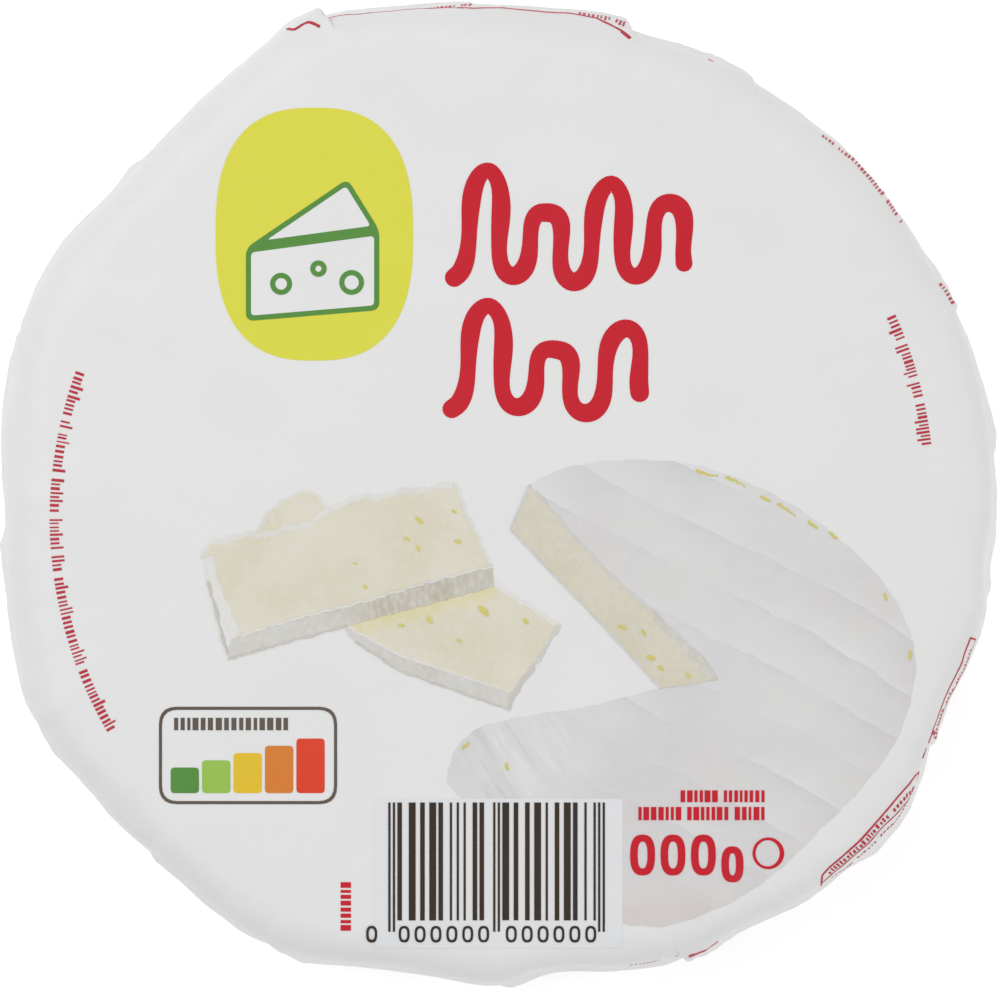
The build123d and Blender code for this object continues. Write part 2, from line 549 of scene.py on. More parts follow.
def folding_tree():
    """Geometry Nodes that fold flat film and print round the wheel."""
    tree, given, out = new_tree("fold_round_wheel", [
        ("Profile", "NodeSocketObject", None),
        ("Shoulder", "NodeSocketFloat", SHOULDER),
        ("Crease height", "NodeSocketFloat", 0.22 * MM),
        ("Crease width", "NodeSocketFloat", 4.5 * MM),
        ("Crease length", "NodeSocketFloat", 26 * MM),
        ("Dent height", "NodeSocketFloat", 0.40 * MM),
        ("Dent size", "NodeSocketFloat", 24 * MM),
        ("Material", "NodeSocketMaterial", None),
    ])
    x, y, over = parts(tree, node(tree, "GeometryNodeInputPosition").outputs[0])
    flat = xyz(tree, x, y)
    way_out = vector(tree, "NORMALIZE", flat)
    outline = attribute(tree, "outline")
    past = minus(tree, distance(tree, "LENGTH", flat), minus(tree, outline, given["Shoulder"]))

    sample, _ = curve_spot(tree, given["Profile"], maths(tree, "MAXIMUM", past, 0.0))
    spot = parts(tree, sample["Position"])
    slope = parts(tree, sample["Tangent"])
    reach = plus(tree, outline, spot[0], maths(tree, "MINIMUM", past, 0.0))
    smooth_wheel = vector(tree, "ADD", stretched(tree, way_out, reach), xyz(tree, 0.0, 0.0, spot[2]))
    outward = vector(tree, "ADD", stretched(tree, way_out, times(tree, slope[2], -1.0)),
                     xyz(tree, 0.0, 0.0, slope[0]))

    turns = stretched(tree, way_out, maths(tree, "DIVIDE", RIM_RADIUS, given["Crease width"]))
    along = xyz(tree, 0.0, 0.0, maths(tree, "DIVIDE", past, given["Crease length"]))
    creases = vector(tree, "ADD", turns, along)
    crease = node(tree, "ShaderNodeTexNoise", creases, None, 1.0, 2.0, 0.5).outputs[0]
    crease = times(tree, minus(tree, crease, 0.5), given["Crease height"], 2.0, attribute(tree, "slack"))
    dents = stretched(tree, smooth_wheel, maths(tree, "DIVIDE", 1.0, given["Dent size"]))
    dent = node(tree, "ShaderNodeTexNoise", dents, None, 1.0, 1.0, 0.5).outputs[0]
    dent = times(tree, minus(tree, dent, 0.5), given["Dent height"], 2.0, attribute(tree, "give"))

    lift = plus(tree, attribute(tree, "stand"), over, plus(tree, crease, dent))
    folded = vector(tree, "ADD", smooth_wheel, stretched(tree, outward, lift))
    on_floor = vector(tree, "MAXIMUM", folded, Vector((-1.0, -1.0, 0.0)))
    moved = node(tree, "GeometryNodeSetPosition", given["Geometry"], None, on_floor)
    merged = by_name(tree, "GeometryNodeMergeByDistance",
                     {"Geometry": moved.outputs[0], "Distance": MERGE})
    whole = node(tree, "GeometryNodeRealizeInstances", merged.outputs[0]).outputs[0]
    coat = node(tree, "GeometryNodeSetMaterial", whole, None, given["Material"])
    feed(tree, out[0], coat.outputs[0])
    return tree


FOLDING = folding_tree()
print("folding tree:", len(FOLDING.nodes), "nodes")

# %% [markdown]
# ## The tree that prints rows of small marks
# Small print runs in rows, and a bar code is a row of bars. Both are marks of uneven width along a path, so
# one tree makes them. It gives each mark a random width and gap, adds them up to find where the next mark
# starts, reads that place on the path, and puts a thin box there. None of the marks is a letter.

# %% Build the tree of marks


def marks_tree():
    """Geometry Nodes that lay a row of thin boxes along a path, in words, with their feet on the path."""
    tree, given, out = new_tree("marks_along_path", [
        ("Path", "NodeSocketObject", None),
        ("Count", "NodeSocketInt", 120),
        ("Narrowest", "NodeSocketFloat", 0.45 * MM),
        ("Widest", "NodeSocketFloat", 1.05 * MM),
        ("Smallest gap", "NodeSocketFloat", 0.25 * MM),
        ("Largest gap", "NodeSocketFloat", 0.30 * MM),
        ("Word gap", "NodeSocketFloat", 0.8 * MM),
        ("Word share", "NodeSocketFloat", 0.18),
        ("Module", "NodeSocketFloat", 0.01 * MM),
        ("Height", "NodeSocketFloat", 1.9 * MM),
        ("Low height", "NodeSocketFloat", 1.3 * MM),
        ("Low share", "NodeSocketFloat", 0.7),
        ("Thickness", "NodeSocketFloat", 0.07 * MM),
        ("Cuts", "NodeSocketInt", 3),
        ("Seed", "NodeSocketInt", 1),
    ])

    def random_value(lowest, highest, draw):
        made = node(tree, "FunctionNodeRandomValue", lowest, highest, None,
                    plus(tree, given["Seed"], draw), data_type="FLOAT")
        return enabled(made.outputs)[0]

    def snapped(value):
        return maths(tree, "SNAP", plus(tree, value, times(tree, given["Module"], 0.5)), given["Module"])

    width = snapped(random_value(given["Narrowest"], given["Widest"], 11.0))
    gap = snapped(random_value(given["Smallest gap"], given["Largest gap"], 23.0))
    new_word = maths(tree, "LESS_THAN", random_value(0.0, 1.0, 37.0), given["Word share"])
    gap = plus(tree, gap, times(tree, new_word, given["Word gap"]))
    total = node(tree, "GeometryNodeAccumulateField", plus(tree, width, gap), data_type="FLOAT")
    start = [socket for socket in enabled(total.outputs) if socket.name == "Trailing"][0]
    low = maths(tree, "LESS_THAN", random_value(0.0, 1.0, 51.0), given["Low share"])
    height = minus(tree, given["Height"],
                   times(tree, low, minus(tree, given["Height"], given["Low height"])))

    points = node(tree, "GeometryNodePoints", given["Count"]).outputs[0]
    sample, path = curve_spot(tree, given["Path"], plus(tree, start, times(tree, width, 0.5)))
    length = node(tree, "GeometryNodeCurveLength", path).outputs[0]
    beyond = node(tree, "FunctionNodeCompare", plus(tree, start, width), length,
                  data_type="FLOAT", operation="GREATER_THAN").outputs[0]
    placed = node(tree, "GeometryNodeSetPosition", points, None, sample["Position"]).outputs[0]
    kept = node(tree, "GeometryNodeDeleteGeometry", placed, beyond, domain="POINT").outputs[0]

    box = node(tree, "GeometryNodeMeshCube", (1.0, 1.0, 1.0), 2, given["Cuts"], 2).outputs[0]
    foot = by_name(tree, "GeometryNodeTransform", {"Geometry": box, "Translation": (0.0, 0.5, 0.5)})
    turn = by_name(tree, "FunctionNodeAlignRotationToVector", {"Vector": sample["Tangent"]},
                   axis="X", pivot_axis="Z")
    size = xyz(tree, width, height, given["Thickness"])
    spread = by_name(tree, "GeometryNodeInstanceOnPoints", {
        "Points": kept, "Instance": foot.outputs[0], "Rotation": turn.outputs[0], "Scale": size})
    whole = node(tree, "GeometryNodeRealizeInstances", spread.outputs[0]).outputs[0]
    feed(tree, out[0], node(tree, "GeometryNodeSetMaterial", whole).outputs[0])
    return tree


MARKS = marks_tree()
UNDER = 0.02  # millimetres that the foot of all ink lies under the film's surface


def row_of_marks(path, seed, **sizes):
    """Points and faces of a row of marks along a flat path in millimetres. Sizes are in millimetres too,
    apart from the shares and the count."""
    helper = curve_object("path", [(x * MM, y * MM, -UNDER * MM) for x, y in path])
    piece = bpy.data.objects.new("marks", bpy.data.meshes.new("marks"))
    bpy.context.scene.collection.objects.link(piece)
    unscaled = ("count", "word_share", "low_share", "cuts")
    sizes = {label: value if label in unscaled else value * MM for label, value in sizes.items()}
    run_tree(piece, MARKS, path=helper, seed=seed, **sizes)
    mesh = piece.data
    shape = (np.array([v.co for v in mesh.vertices]), [list(p.vertices) for p in mesh.polygons])
    for spent in (piece, helper):
        data = spent.data
        bpy.data.objects.remove(spent)
        bpy.data.batch_remove([data])
    return shape


print("marks tree:", len(MARKS.nodes), "nodes")

# %% [markdown]
# ## Flat shapes
# A printer's plate is flat, and so are these shapes. Each is an outline in millimetres on the face, made of
# rounded corners, smooth lines through a few points, or strokes with round ends. Loops inside a loop cut
# holes. The shape is then cut into small triangles, so that it can bend with the film, and given a little
# thickness, so that it is a closed body like real ink.

# %% Draw outlines


def superellipse(centre, half, power, count=90):
    """An upright shape between an ellipse and a box."""
    turns = np.linspace(0, 2 * pi, count, endpoint=False)
    loop = np.column_stack((np.cos(turns), np.sin(turns)))
    return np.array(centre) + np.array(half) * np.sign(loop) * np.abs(loop) ** (2 / power)


def with_neighbours(corners):
    """Each corner of a polygon, between the one before it and the one after it."""
    return zip(np.roll(corners, 1, axis=0), corners, np.roll(corners, -1, axis=0))


def rounded(corners, cut):
    """A polygon with its corners rounded, starting so many millimetres before each corner."""
    shares = np.linspace(0, 1, 6)[:, None]
    loop = []
    for before, corner, after in with_neighbours(np.array(corners, float)):
        start = corner + (before - corner) * min(0.45, cut / np.linalg.norm(before - corner))
        end = corner + (after - corner) * min(0.45, cut / np.linalg.norm(after - corner))
        loop.append((1 - shares) ** 2 * start + 2 * shares * (1 - shares) * corner + shares ** 2 * end)
    return np.concatenate(loop)


def rectangle(left, right, bottom, top, cut=0.0):
    """An upright rectangle, with rounded corners if a cut is given."""
    corners = [(left, bottom), (right, bottom), (right, top), (left, top)]
    return rounded(corners, cut) if cut else np.array(corners, float)


def inset(corners, distance):
    """The corners of a polygon drawn so far inside another, whose corners run anticlockwise."""
    moved = []
    for before, corner, after in with_neighbours(np.array(corners, float)):
        to_corner = (corner - before) / np.linalg.norm(corner - before)
        from_corner = (after - corner) / np.linalg.norm(after - corner)
        sine = to_corner[0] * from_corner[1] - to_corner[1] * from_corner[0]
        moved.append(corner + distance * (from_corner - to_corner) / sine)
    return np.array(moved)


def smooth_line(points, steps=8):
    """A smooth line through points, the way a drawn spline goes."""
    points = np.array(points, float)
    padded = np.concatenate((points[:1], points, points[-1:]))
    shares = np.linspace(0, 1, steps, endpoint=False)[:, None]
    line = []
    for a, b, c, d in zip(padded, padded[1:], padded[2:], padded[3:]):
        line.append(0.5 * (2 * b + (c - a) * shares + (2 * a - 5 * b + 4 * c - d) * shares ** 2
                           + (3 * b - a - 3 * c + d) * shares ** 3))
    return np.concatenate([*line, points[-1:]])


def directions(line):
    """The directions ahead and to the left at each point of a line."""
    ahead = np.gradient(line, axis=0)
    ahead /= np.linalg.norm(ahead, axis=1)[:, None]
    return ahead, np.column_stack((-ahead[:, 1], ahead[:, 0]))


def stroke(points, width, sway):
    """The outline of a stroke along a smooth line, with round ends and a slightly uneven width."""
    line = smooth_line(points, 3)
    ahead, left = directions(line)
    half = (0.5 * width * (1 + sway * np.sin(lengths_along(line) * 0.55 + 1.0)))[:, None]
    turns = np.linspace(-pi / 2, pi / 2, 9)[1:-1, None]
    end_cap = line[-1] + half[-1] * (ahead[-1] * np.cos(turns) + left[-1] * np.sin(turns))
    start_cap = line[0] - half[0] * (ahead[0] * np.cos(turns) + left[0] * np.sin(turns))
    return np.concatenate((line - left * half, end_cap, (line + left * half)[::-1], start_cap))


def rippled(line, height, length, phase=0.0):
    """A line whose points sway to its side, as a cut or crumbly edge does."""
    turn = 2 * pi * lengths_along(line) / length + phase
    sway = 0.6 * np.sin(turn) + 0.4 * np.sin(2.3 * turn + 1.3) + 0.25 * np.sin(5.1 * turn + 0.4)
    return line + directions(line)[1] * (height * sway)[:, None]


def divided(line, step, closed=True):
    """A loop or line with its long edges divided into pieces of one step at most."""
    points = []
    ends = np.roll(line, -1, axis=0) if closed else line[1:]
    for start, end in zip(line, ends):
        count = max(1, int(np.ceil(np.linalg.norm(end - start) / step)))
        points += [start + (end - start) * k / count for k in range(count)]
    return np.array(points if closed else [*points, line[-1]])


print("a stroke through 3 points has", len(stroke([(0, 0), (5, 2), (9, 0)], 1.0, 0.1)), "points")

# %% Cut a flat shape into small triangles and make it a thin slab
ROW_SHARE = 0.87  # how close rows of spots lie, so that the triangles between them are nearly even


def inside(loops, spots):
    """True for each spot that lies inside an odd number of loops."""
    odd = np.zeros(len(spots), bool)
    for loop in loops:
        for (x1, y1), (x2, y2) in zip(loop, np.roll(loop, -1, axis=0)):
            crosses = (y1 > spots[:, 1]) != (y2 > spots[:, 1])
            if crosses.any():
                odd ^= crosses & (spots[:, 0] < x1 + (spots[:, 1] - y1) / (y2 - y1) * (x2 - x1))
    return odd


def inner_spots(loops, rim, step):
    """An even spread of spots inside the loops, clear of their edges."""
    (left, bottom), (right, top) = rim.min(axis=0), rim.max(axis=0)
    rows = np.arange(bottom, top, ROW_SHARE * step)
    grid = np.array([(x + step / 2 * (row % 2), y) for row, y in enumerate(rows)
                     for x in np.arange(left, right, step)])
    grid = grid[inside(loops, grid)]
    gaps = [np.hypot(*(rim - spot).T).min() for spot in grid]
    return grid[np.array(gaps) > 0.5 * step] if len(grid) else grid.reshape(0, 2)


def slab(loops, lift, step=2.0):
    """Points and faces, in metres, of a closed thin plate. Loops and lift are in millimetres."""
    loops = [divided(np.array(loop, float), step) for loop in loops]
    rim = np.concatenate(loops)
    edges = []
    for loop in loops:
        first = len(edges)
        edges += [(first + k, first + (k + 1) % len(loop)) for k in range(len(loop))]
    spots = np.concatenate((rim, inner_spots(loops, rim, step)))
    found = delaunay_2d_cdt([Vector(spot) for spot in spots], edges, [], 0, 1e-6, False)
    spots = np.array([tuple(spot) for spot in found[0]])
    corners = np.array(found[2])
    kept = corners[inside(loops, spots[corners].mean(axis=1))]
    a, b, c = (spots[kept[:, k]] for k in range(3))
    area = (b - a)[:, 0] * (c - a)[:, 1] - (b - a)[:, 1] * (c - a)[:, 0]
    kept[area < 0] = kept[area < 0][:, ::-1]
    used, kept = np.unique(kept, return_inverse=True)
    kept = kept.reshape(-1, 3)
    count = len(used)
    sides = {(f[k], f[(k + 1) % 3]) for f in kept.tolist() for k in range(3)}
    walls = [[p + count, q + count, q, p] for p, q in sorted(sides) if (q, p) not in sides]
    top = np.column_stack((spots[used], np.full(count, lift)))
    bottom = np.column_stack((spots[used], np.full(count, -UNDER)))
    faces = kept.tolist() + (kept[:, ::-1] + count).tolist() + walls
    return np.concatenate((top, bottom)) * MM, faces


# Lift of each layer of ink over the film, in millimetres: fields first, then what is printed over them.
FIELD, OVER, DETAIL, TOPMOST = 0.06, 0.10, 0.14, 0.18
test_shape = slab([superellipse((0, 0), (10, 10), 2), superellipse((0, 0), (4, 4), 2)], FIELD)
print("a test ring has", len(test_shape[0]), "points and", len(test_shape[1]), "faces")

# %% [markdown]
# ## From flat to folded
# A flat piece needs to know where it lies before it can be folded: how wide the wheel is there, how far the
# film stands out, and how slack it is. These are worked out for each of its points and stored on the mesh
# as named numbers, which the folding tree then reads.

# %% Make, dress and fold a piece
SHARP = 40.0  # an edge sharper than this, in degrees, isn't smoothed over in shading


def flat_mesh(name, shapes):
    """One object from a list of (points, faces)."""
    points, faces = [], []
    for corners, sides in shapes:
        first = sum(len(some) for some in points)
        points.append(corners)
        faces += [[first + corner for corner in side] for side in sides]
    mesh = bpy.data.meshes.new(name)
    mesh.from_pydata(np.concatenate(points).tolist(), [], faces)
    piece = bpy.data.objects.new(name, mesh)
    bpy.context.scene.collection.objects.link(piece)
    return piece


def store(piece, name, values):
    """Keeps a number for each point of a piece."""
    layer = piece.data.attributes.new(name, "FLOAT", "POINT")
    layer.data.foreach_set("value", np.asarray(values, np.float32))


def dress(piece, degrees, past, stand):
    """Stores what the folding tree needs to know about each point."""
    slack, give = slackness(degrees, past)
    store(piece, "outline", outline_at(degrees))
    store(piece, "stand", stand + crease_height(degrees, past) + corner_height(degrees, past))
    store(piece, "slack", slack)
    store(piece, "give", give)


def fold_round(piece, material):
    """Folds a dressed piece round the wheel and shades it smoothly."""
    run_tree(piece, FOLDING, profile=profile, material=material)
    piece.data.update()
    piece.data.shade_smooth()
    piece.data.set_sharp_from_angle(angle=radians(SHARP))
    return piece


def print_on_film(name, shapes, material):
    """A piece of ink, from flat shapes to a folded piece that rides with the wheel."""
    piece = flat_mesh(name, shapes)
    flat = np.array([v.co for v in piece.data.vertices])
    degrees, radius = angles_of(flat)
    past = radius - (outline_at(degrees) - SHOULDER)
    dress(piece, degrees, past, lie_in_folds(degrees, past)[2])
    fold_round(piece, material)
    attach(piece, "root")
    print(f"{name}: {len(piece.data.polygons)} faces")


# %% [markdown]
# ## Film and ink
# All the finishes here are one film with different inks behind its surface, so they share that surface. One
# shader group gives its roughness, which is never quite even, and the fine crinkle that shows in
# reflections. A second group makes an ink a little uneven, as printed colour is.

# %% Shader helpers and the shared groups


def shader_group(name, inputs, outputs):
    """A group of shader nodes with named inputs (name, socket type, value) and outputs (name, type)."""
    tree = bpy.data.node_groups.new(name, "ShaderNodeTree")
    for label, kind, value in inputs:
        tree.interface.new_socket(label, in_out="INPUT", socket_type=kind).default_value = value
    for label, kind in outputs:
        tree.interface.new_socket(label, in_out="OUTPUT", socket_type=kind)
    return tree, tree.nodes.new("NodeGroupInput").outputs, tree.nodes.new("NodeGroupOutput").inputs


def object_place(tree):
    """The place on the piece, in metres."""
    return tree.nodes.new("ShaderNodeTexCoord").outputs["Object"]


def noise(tree, place, scale, detail, rough=0.5, distortion=0.0):
    """A value from 0 to 1 that varies over the surface. Scale is in cycles per metre, about."""
    inputs = {"Vector": place, "Scale": scale, "Detail": detail, "Roughness": rough,
              "Distortion": distortion}
    return by_name(tree, "ShaderNodeTexNoise", inputs).outputs[0]


def between(tree, value, low, high):
    """0 where a value is at low or beyond, 1 where it is at high or beyond, and a soft rise between them."""
    made = node(tree, "ShaderNodeMapRange", value, low, high, 0.0, 1.0, interpolation_type="SMOOTHSTEP")
    return made.outputs[0]


def blended(tree, mask, first, second):
    """First colour where the mask is 0, second where it is 1."""
    made = tree.nodes.new("ShaderNodeMix")
    made.data_type = "RGBA"
    for socket, value in zip(enabled(made.inputs), (mask, first, second)):
        feed(tree, socket, value)
    return enabled(made.outputs)[0]


def patches(tree, place, scale, detail, low, high, rough=0.5):
    """A mask of soft patches: noise between two values."""
    return between(tree, noise(tree, place, scale, detail, rough), low, high)


def film_surface():
    """Group: the film's roughness and the height of its fine crinkle."""
    tree, given, out = shader_group("film_surface", [
        ("Roughness", "NodeSocketFloat", 0.48),
        ("Unevenness", "NodeSocketFloat", 0.14),
        ("Crinkles per metre", "NodeSocketFloat", 260.0),
    ], [("Roughness", "NodeSocketFloat"), ("Height", "NodeSocketFloat")])
    place = object_place(tree)
    cloud = minus(tree, noise(tree, place, 55.0, 3.0), 0.5)
    roughness = maths(tree, "MULTIPLY_ADD", cloud, given["Unevenness"], given["Roughness"])
    feed(tree, out["Roughness"], roughness)
    fine = noise(tree, place, given["Crinkles per metre"], 3.0, 0.55, 0.6)
    broad = noise(tree, place, 90.0, 2.0, 0.5, 0.3)
    feed(tree, out["Height"], maths(tree, "MULTIPLY_ADD", broad, 2.0, fine))
    return tree


def ink_cover():
    """Group: an ink, a little thinner in soft patches and in a fine grain."""
    tree, given, out = shader_group("ink_cover", [
        ("Ink", "NodeSocketColor", (0.8, 0.8, 0.8, 1.0)),
        ("Thin ink", "NodeSocketColor", (0.9, 0.9, 0.9, 1.0)),
        ("Amount", "NodeSocketFloat", 0.5),
    ], [("Color", "NodeSocketColor")])
    place = object_place(tree)
    thin = patches(tree, place, 60.0, 3.0, 0.35, 0.75)
    grain = patches(tree, place, 1400.0, 1.0, 0.4, 0.8)
    mask = times(tree, maths(tree, "MULTIPLY_ADD", grain, 0.5, thin), given["Amount"])
    feed(tree, out["Color"], blended(tree, mask, given["Ink"], given["Thin ink"]))
    return tree


FILM_SURFACE = film_surface()
INK_COVER = ink_cover()
CRINKLE = 0.025 * MM  # height of one step of the crinkle
FILM_GLOSS = 0.5  # of bare film and pale inks


def tone(red, green, blue):
    """A colour from the usual 0 to 255 values."""
    shares = [value / 255 for value in (red, green, blue)]
    return (*[v / 12.92 if v <= 0.04045 else ((v + 0.055) / 1.055) ** 2.4 for v in shares], 1.0)


def new_material(name, inputs_of):
    """A material of one Principled shader, with inputs by name, which inputs_of makes from its tree."""
    material = bpy.data.materials.new(name)
    material.use_nodes = True
    tree = material.node_tree
    tree.nodes.clear()
    shader = by_name(tree, "ShaderNodeBsdfPrincipled", inputs_of(tree))
    by_name(tree, "ShaderNodeOutputMaterial", {"Surface": shader.outputs[0]})
    return material


def film_material(name, colour_of, gloss=FILM_GLOSS):
    """A material with the film's surface over a colour, which colour_of makes from the material's tree."""
    def inputs_of(tree):
        surface = node(tree, "ShaderNodeGroup", node_tree=FILM_SURFACE).outputs
        bump = by_name(tree, "ShaderNodeBump",
                       {"Strength": 1.0, "Distance": CRINKLE, "Height": surface["Height"]})
        return {"Base Color": colour_of(tree), "Roughness": surface["Roughness"],
                "Normal": bump.outputs["Normal"], "Specular IOR Level": gloss}
    return new_material(name, inputs_of)


def ink(colour, thin, amount):
    """Makes the colour of a plain ink, as a function for film_material."""
    inputs = {"Ink": tone(*colour), "Thin ink": tone(*thin), "Amount": amount}

    def make(tree):
        return by_name(tree, "ShaderNodeGroup", inputs, node_tree=INK_COVER).outputs["Color"]
    return make


print("shared groups:", FILM_SURFACE.name, INK_COVER.name)

# %% Make the plain inks
INK_GLOSS = 0.25  # strong inks lie behind the film and shine less than bare film
THIN_AMOUNT = 0.4  # how much of the thin colour a strong ink shows
WHITE_FILM = film_material("white_film", ink((229, 229, 229), (226, 226, 225), 0.6))
WHITE_FIELD = film_material("white_field", ink((225, 226, 228), (222, 223, 226), 0.5))
INK_TONES = {  # each ink where it is full and where it is thin
    "lime": ((219, 217, 70), (221, 220, 92)),
    "red": ((196, 16, 36), (201, 34, 50)),
    "small_red": ((182, 44, 60), (192, 70, 84)),
    "green": ((82, 138, 58), (94, 146, 72)),
    "light_green": ((150, 191, 80), (158, 196, 96)),
    "yellow": ((226, 190, 44), (228, 197, 70)),
    "orange": ((214, 124, 46), (218, 138, 66)),
    "warm_red": ((219, 62, 36), (222, 84, 58)),
    "dark": ((44, 33, 20), (58, 47, 36)),
    "grey": ((90, 80, 72), (106, 98, 92)),
}
INKS = {name: film_material(f"{name}_ink", ink(*tones, THIN_AMOUNT), INK_GLOSS)
        for name, tones in INK_TONES.items()}
print("plain inks:", ", ".join(INKS))

# %% [markdown]
# ## Inks of the picture
# The wrap shows its cheese: a cut wheel with a downy white rind, and slices of pale paste. Their colours
# vary within each shape. The rind has low ridges from the mat that the cheese drained on, drawn here by
# bands that wander a little. The paste is nearly even, with a fine grain.

# %% Make the inks of the picture
RIDGE_TURN = 28.0  # degrees that the ridges run down to the right
RIDGE_PITCH = 6.6 * MM
STREAK_TURN = 56.0  # degrees that the streaks on the tongue run down to the right
RIND_MIDDLE = (0.024, -0.022, HEIGHT)  # middle of the pictured wheel


def turned_place(tree, degrees, stretch=(1.0, 1.0, 1.0)):
    """The place on the piece, turned about the upright and stretched."""
    inputs = {"Vector": object_place(tree), "Rotation": (0.0, 0.0, radians(degrees)), "Scale": stretch}
    return by_name(tree, "ShaderNodeMapping", inputs).outputs[0]


def pictured_rind(tree):
    """Colour of the rind: ridges with a shaded line on their upper side, a little pink and a fine grain. On
    the tongue at the lower left, steep streaks take the place of the ridges."""
    place = turned_place(tree, RIDGE_TURN)
    across, up, _ = parts(tree, object_place(tree))
    wander = times(tree, noise(tree, place, 26.0, 3.0), 6 * MM)
    jagged = times(tree, noise(tree, place, 240.0, 3.0), 1.6 * MM)
    line = plus(tree, parts(tree, place)[1], plus(tree, wander, jagged))
    share = maths(tree, "FRACT", maths(tree, "DIVIDE", line, RIDGE_PITCH))
    strength = patches(tree, turned_place(tree, RIDGE_TURN, (0.35, 1.0, 1.0)), 110.0, 2.0, 0.3, 0.75)
    shade = times(tree, maths(tree, "POWER", share, 5.0), strength)
    light = times(tree, maths(tree, "POWER", minus(tree, 1.0, share), 3.0), strength)

    tongue = times(tree, between(tree, across, 16 * MM, 4 * MM), between(tree, up, -29 * MM, -34 * MM))
    ridged = minus(tree, 1.0, tongue)
    streak_place = vector(tree, "MULTIPLY", turned_place(tree, STREAK_TURN), (0.14, 1.0, 1.0))
    streaks = noise(tree, streak_place, 330.0, 3.0, 0.6, 0.4)
    shade = maths(tree, "MAXIMUM", times(tree, shade, ridged),
                  times(tree, between(tree, streaks, 0.52, 0.68), tongue))
    light = maths(tree, "MAXIMUM", times(tree, light, ridged),
                  times(tree, between(tree, streaks, 0.47, 0.32), tongue))
    clouds = patches(tree, place, 48.0, 4.0, 0.35, 0.7, 0.6)
    base = blended(tree, clouds, tone(216, 216, 215), tone(210, 209, 211))
    shaded = blended(tree, times(tree, shade, 0.8), base, tone(201, 201, 205))
    lit = blended(tree, times(tree, light, 0.8), shaded, tone(226, 226, 227))

    from_middle = distance(tree, "DISTANCE", object_place(tree), RIND_MIDDLE)
    at_edge = times(tree, between(tree, from_middle, 28 * MM, 38 * MM), 0.75)
    pink = times(tree, maths(tree, "MAXIMUM", at_edge, patches(tree, place, 38.0, 2.0, 0.45, 0.75)), 0.45)
    pink = maths(tree, "MAXIMUM", pink, times(tree, between(tree, up, -55 * MM, -61 * MM), 0.8))
    tinted = blended(tree, times(tree, pink, ridged), lit, tone(210, 202, 199))
    grain = times(tree, patches(tree, place, 700.0, 3.0, 0.45, 0.8), 0.25)
    return blended(tree, grain, tinted, tone(225, 223, 222))


UPPER_SLICE_FOOT = (0.257, -13.54 * MM)  # slope and height of the line where the slices meet


def pictured_paste(cream, yellower, grain_colour):
    """Makes the colour of cut cheese: pale cream with soft yellower patches and a fine grain. Where one
    slice lies on the other, the lower one is yellower."""
    def make(tree):
        place = object_place(tree)
        mottled = patches(tree, place, 120.0, 4.0, 0.35, 0.7)
        paste = blended(tree, mottled, tone(*cream), tone(*yellower))
        across, up, _ = parts(tree, place)
        below = minus(tree, maths(tree, "MULTIPLY_ADD", across, *UPPER_SLICE_FOOT), up)
        near = times(tree, between(tree, below, 2.6 * MM, 0.2 * MM),
                     between(tree, below, -2.0 * MM, -1.0 * MM),
                     between(tree, across, 0.5 * MM, -1.5 * MM))
        paste = blended(tree, times(tree, near, 0.65), paste, tone(220, 209, 152))
        grain = times(tree, patches(tree, place, 1100.0, 2.0, 0.4, 0.75), 0.5)
        return blended(tree, grain, paste, tone(*grain_colour))
    return make


def pictured_crust(tree):
    """Colour of the rind where it is cut or seen from the side: grey white with a brownish grain, and
    browner along the right part of the upper slice."""
    place = object_place(tree)
    across, up, _ = parts(tree, place)
    right_part = times(tree, between(tree, across, -24 * MM, -17 * MM),
                       between(tree, up, -19.8 * MM, -18.8 * MM), between(tree, across, 1 * MM, -1 * MM))
    clouds = patches(tree, place, 160.0, 3.0, 0.4, 0.75)
    brown = plus(tree, times(tree, clouds, 0.45), times(tree, right_part, 0.5))
    base = blended(tree, brown, tone(207, 206, 201), tone(182, 173, 150))
    grain = patches(tree, turned_place(tree, 15.0, (1.0, 0.5, 1.0)), 1500.0, 2.0, 0.35, 0.8)
    return blended(tree, times(tree, grain, 0.6), base, tone(217, 216, 212))


PASTE_TONES = ((221, 216, 199), (215, 210, 187), (224, 219, 206))
CUT_TONES = ((215, 210, 193), (209, 203, 180), (203, 199, 186))
RIND_PICTURE = film_material("pictured_rind", pictured_rind)
PASTE_PICTURE = film_material("pictured_paste", pictured_paste(*PASTE_TONES))
CUT_PICTURE = film_material("pictured_cut", pictured_paste(*CUT_TONES))
CRUST_PICTURE = film_material("pictured_crust", pictured_crust)
HOLE_INK = film_material("hole_ink", ink((204, 193, 90), (213, 204, 138), 0.6))
SHADE_INK = film_material("shade_ink", ink((197, 193, 185), (210, 207, 202), 0.8))
SLICE_RIND = film_material("slice_rind", ink((226, 225, 221), (214, 212, 206), 0.7))
print("inks of the picture made")

# %% [markdown]
# ## The film
# The film itself is a grid: rings from the middle of the face, out and down the side and in to the middle
# of the base, and columns that follow the folds. At each lip the columns run on under the lip, turn back in
# the pocket and come out over it, as a knife fold does. Where a fold hasn't started, all those columns meet
# in one line, and the folding tree merges them.

# %% Lay out the flat film
LIP_THICKNESS = 0.12 * MM
TUCK = 1.3 * MM  # how far the film goes in under a lip
GAP_SHARE = 0.2  # height of the pocket under a lip, as a share of the step
LEAST_RADIUS = 5 * MM  # pockets get no wider in degrees further in than this
SHALLOWEST = 0.008 * MM  # a step lower than this is no step
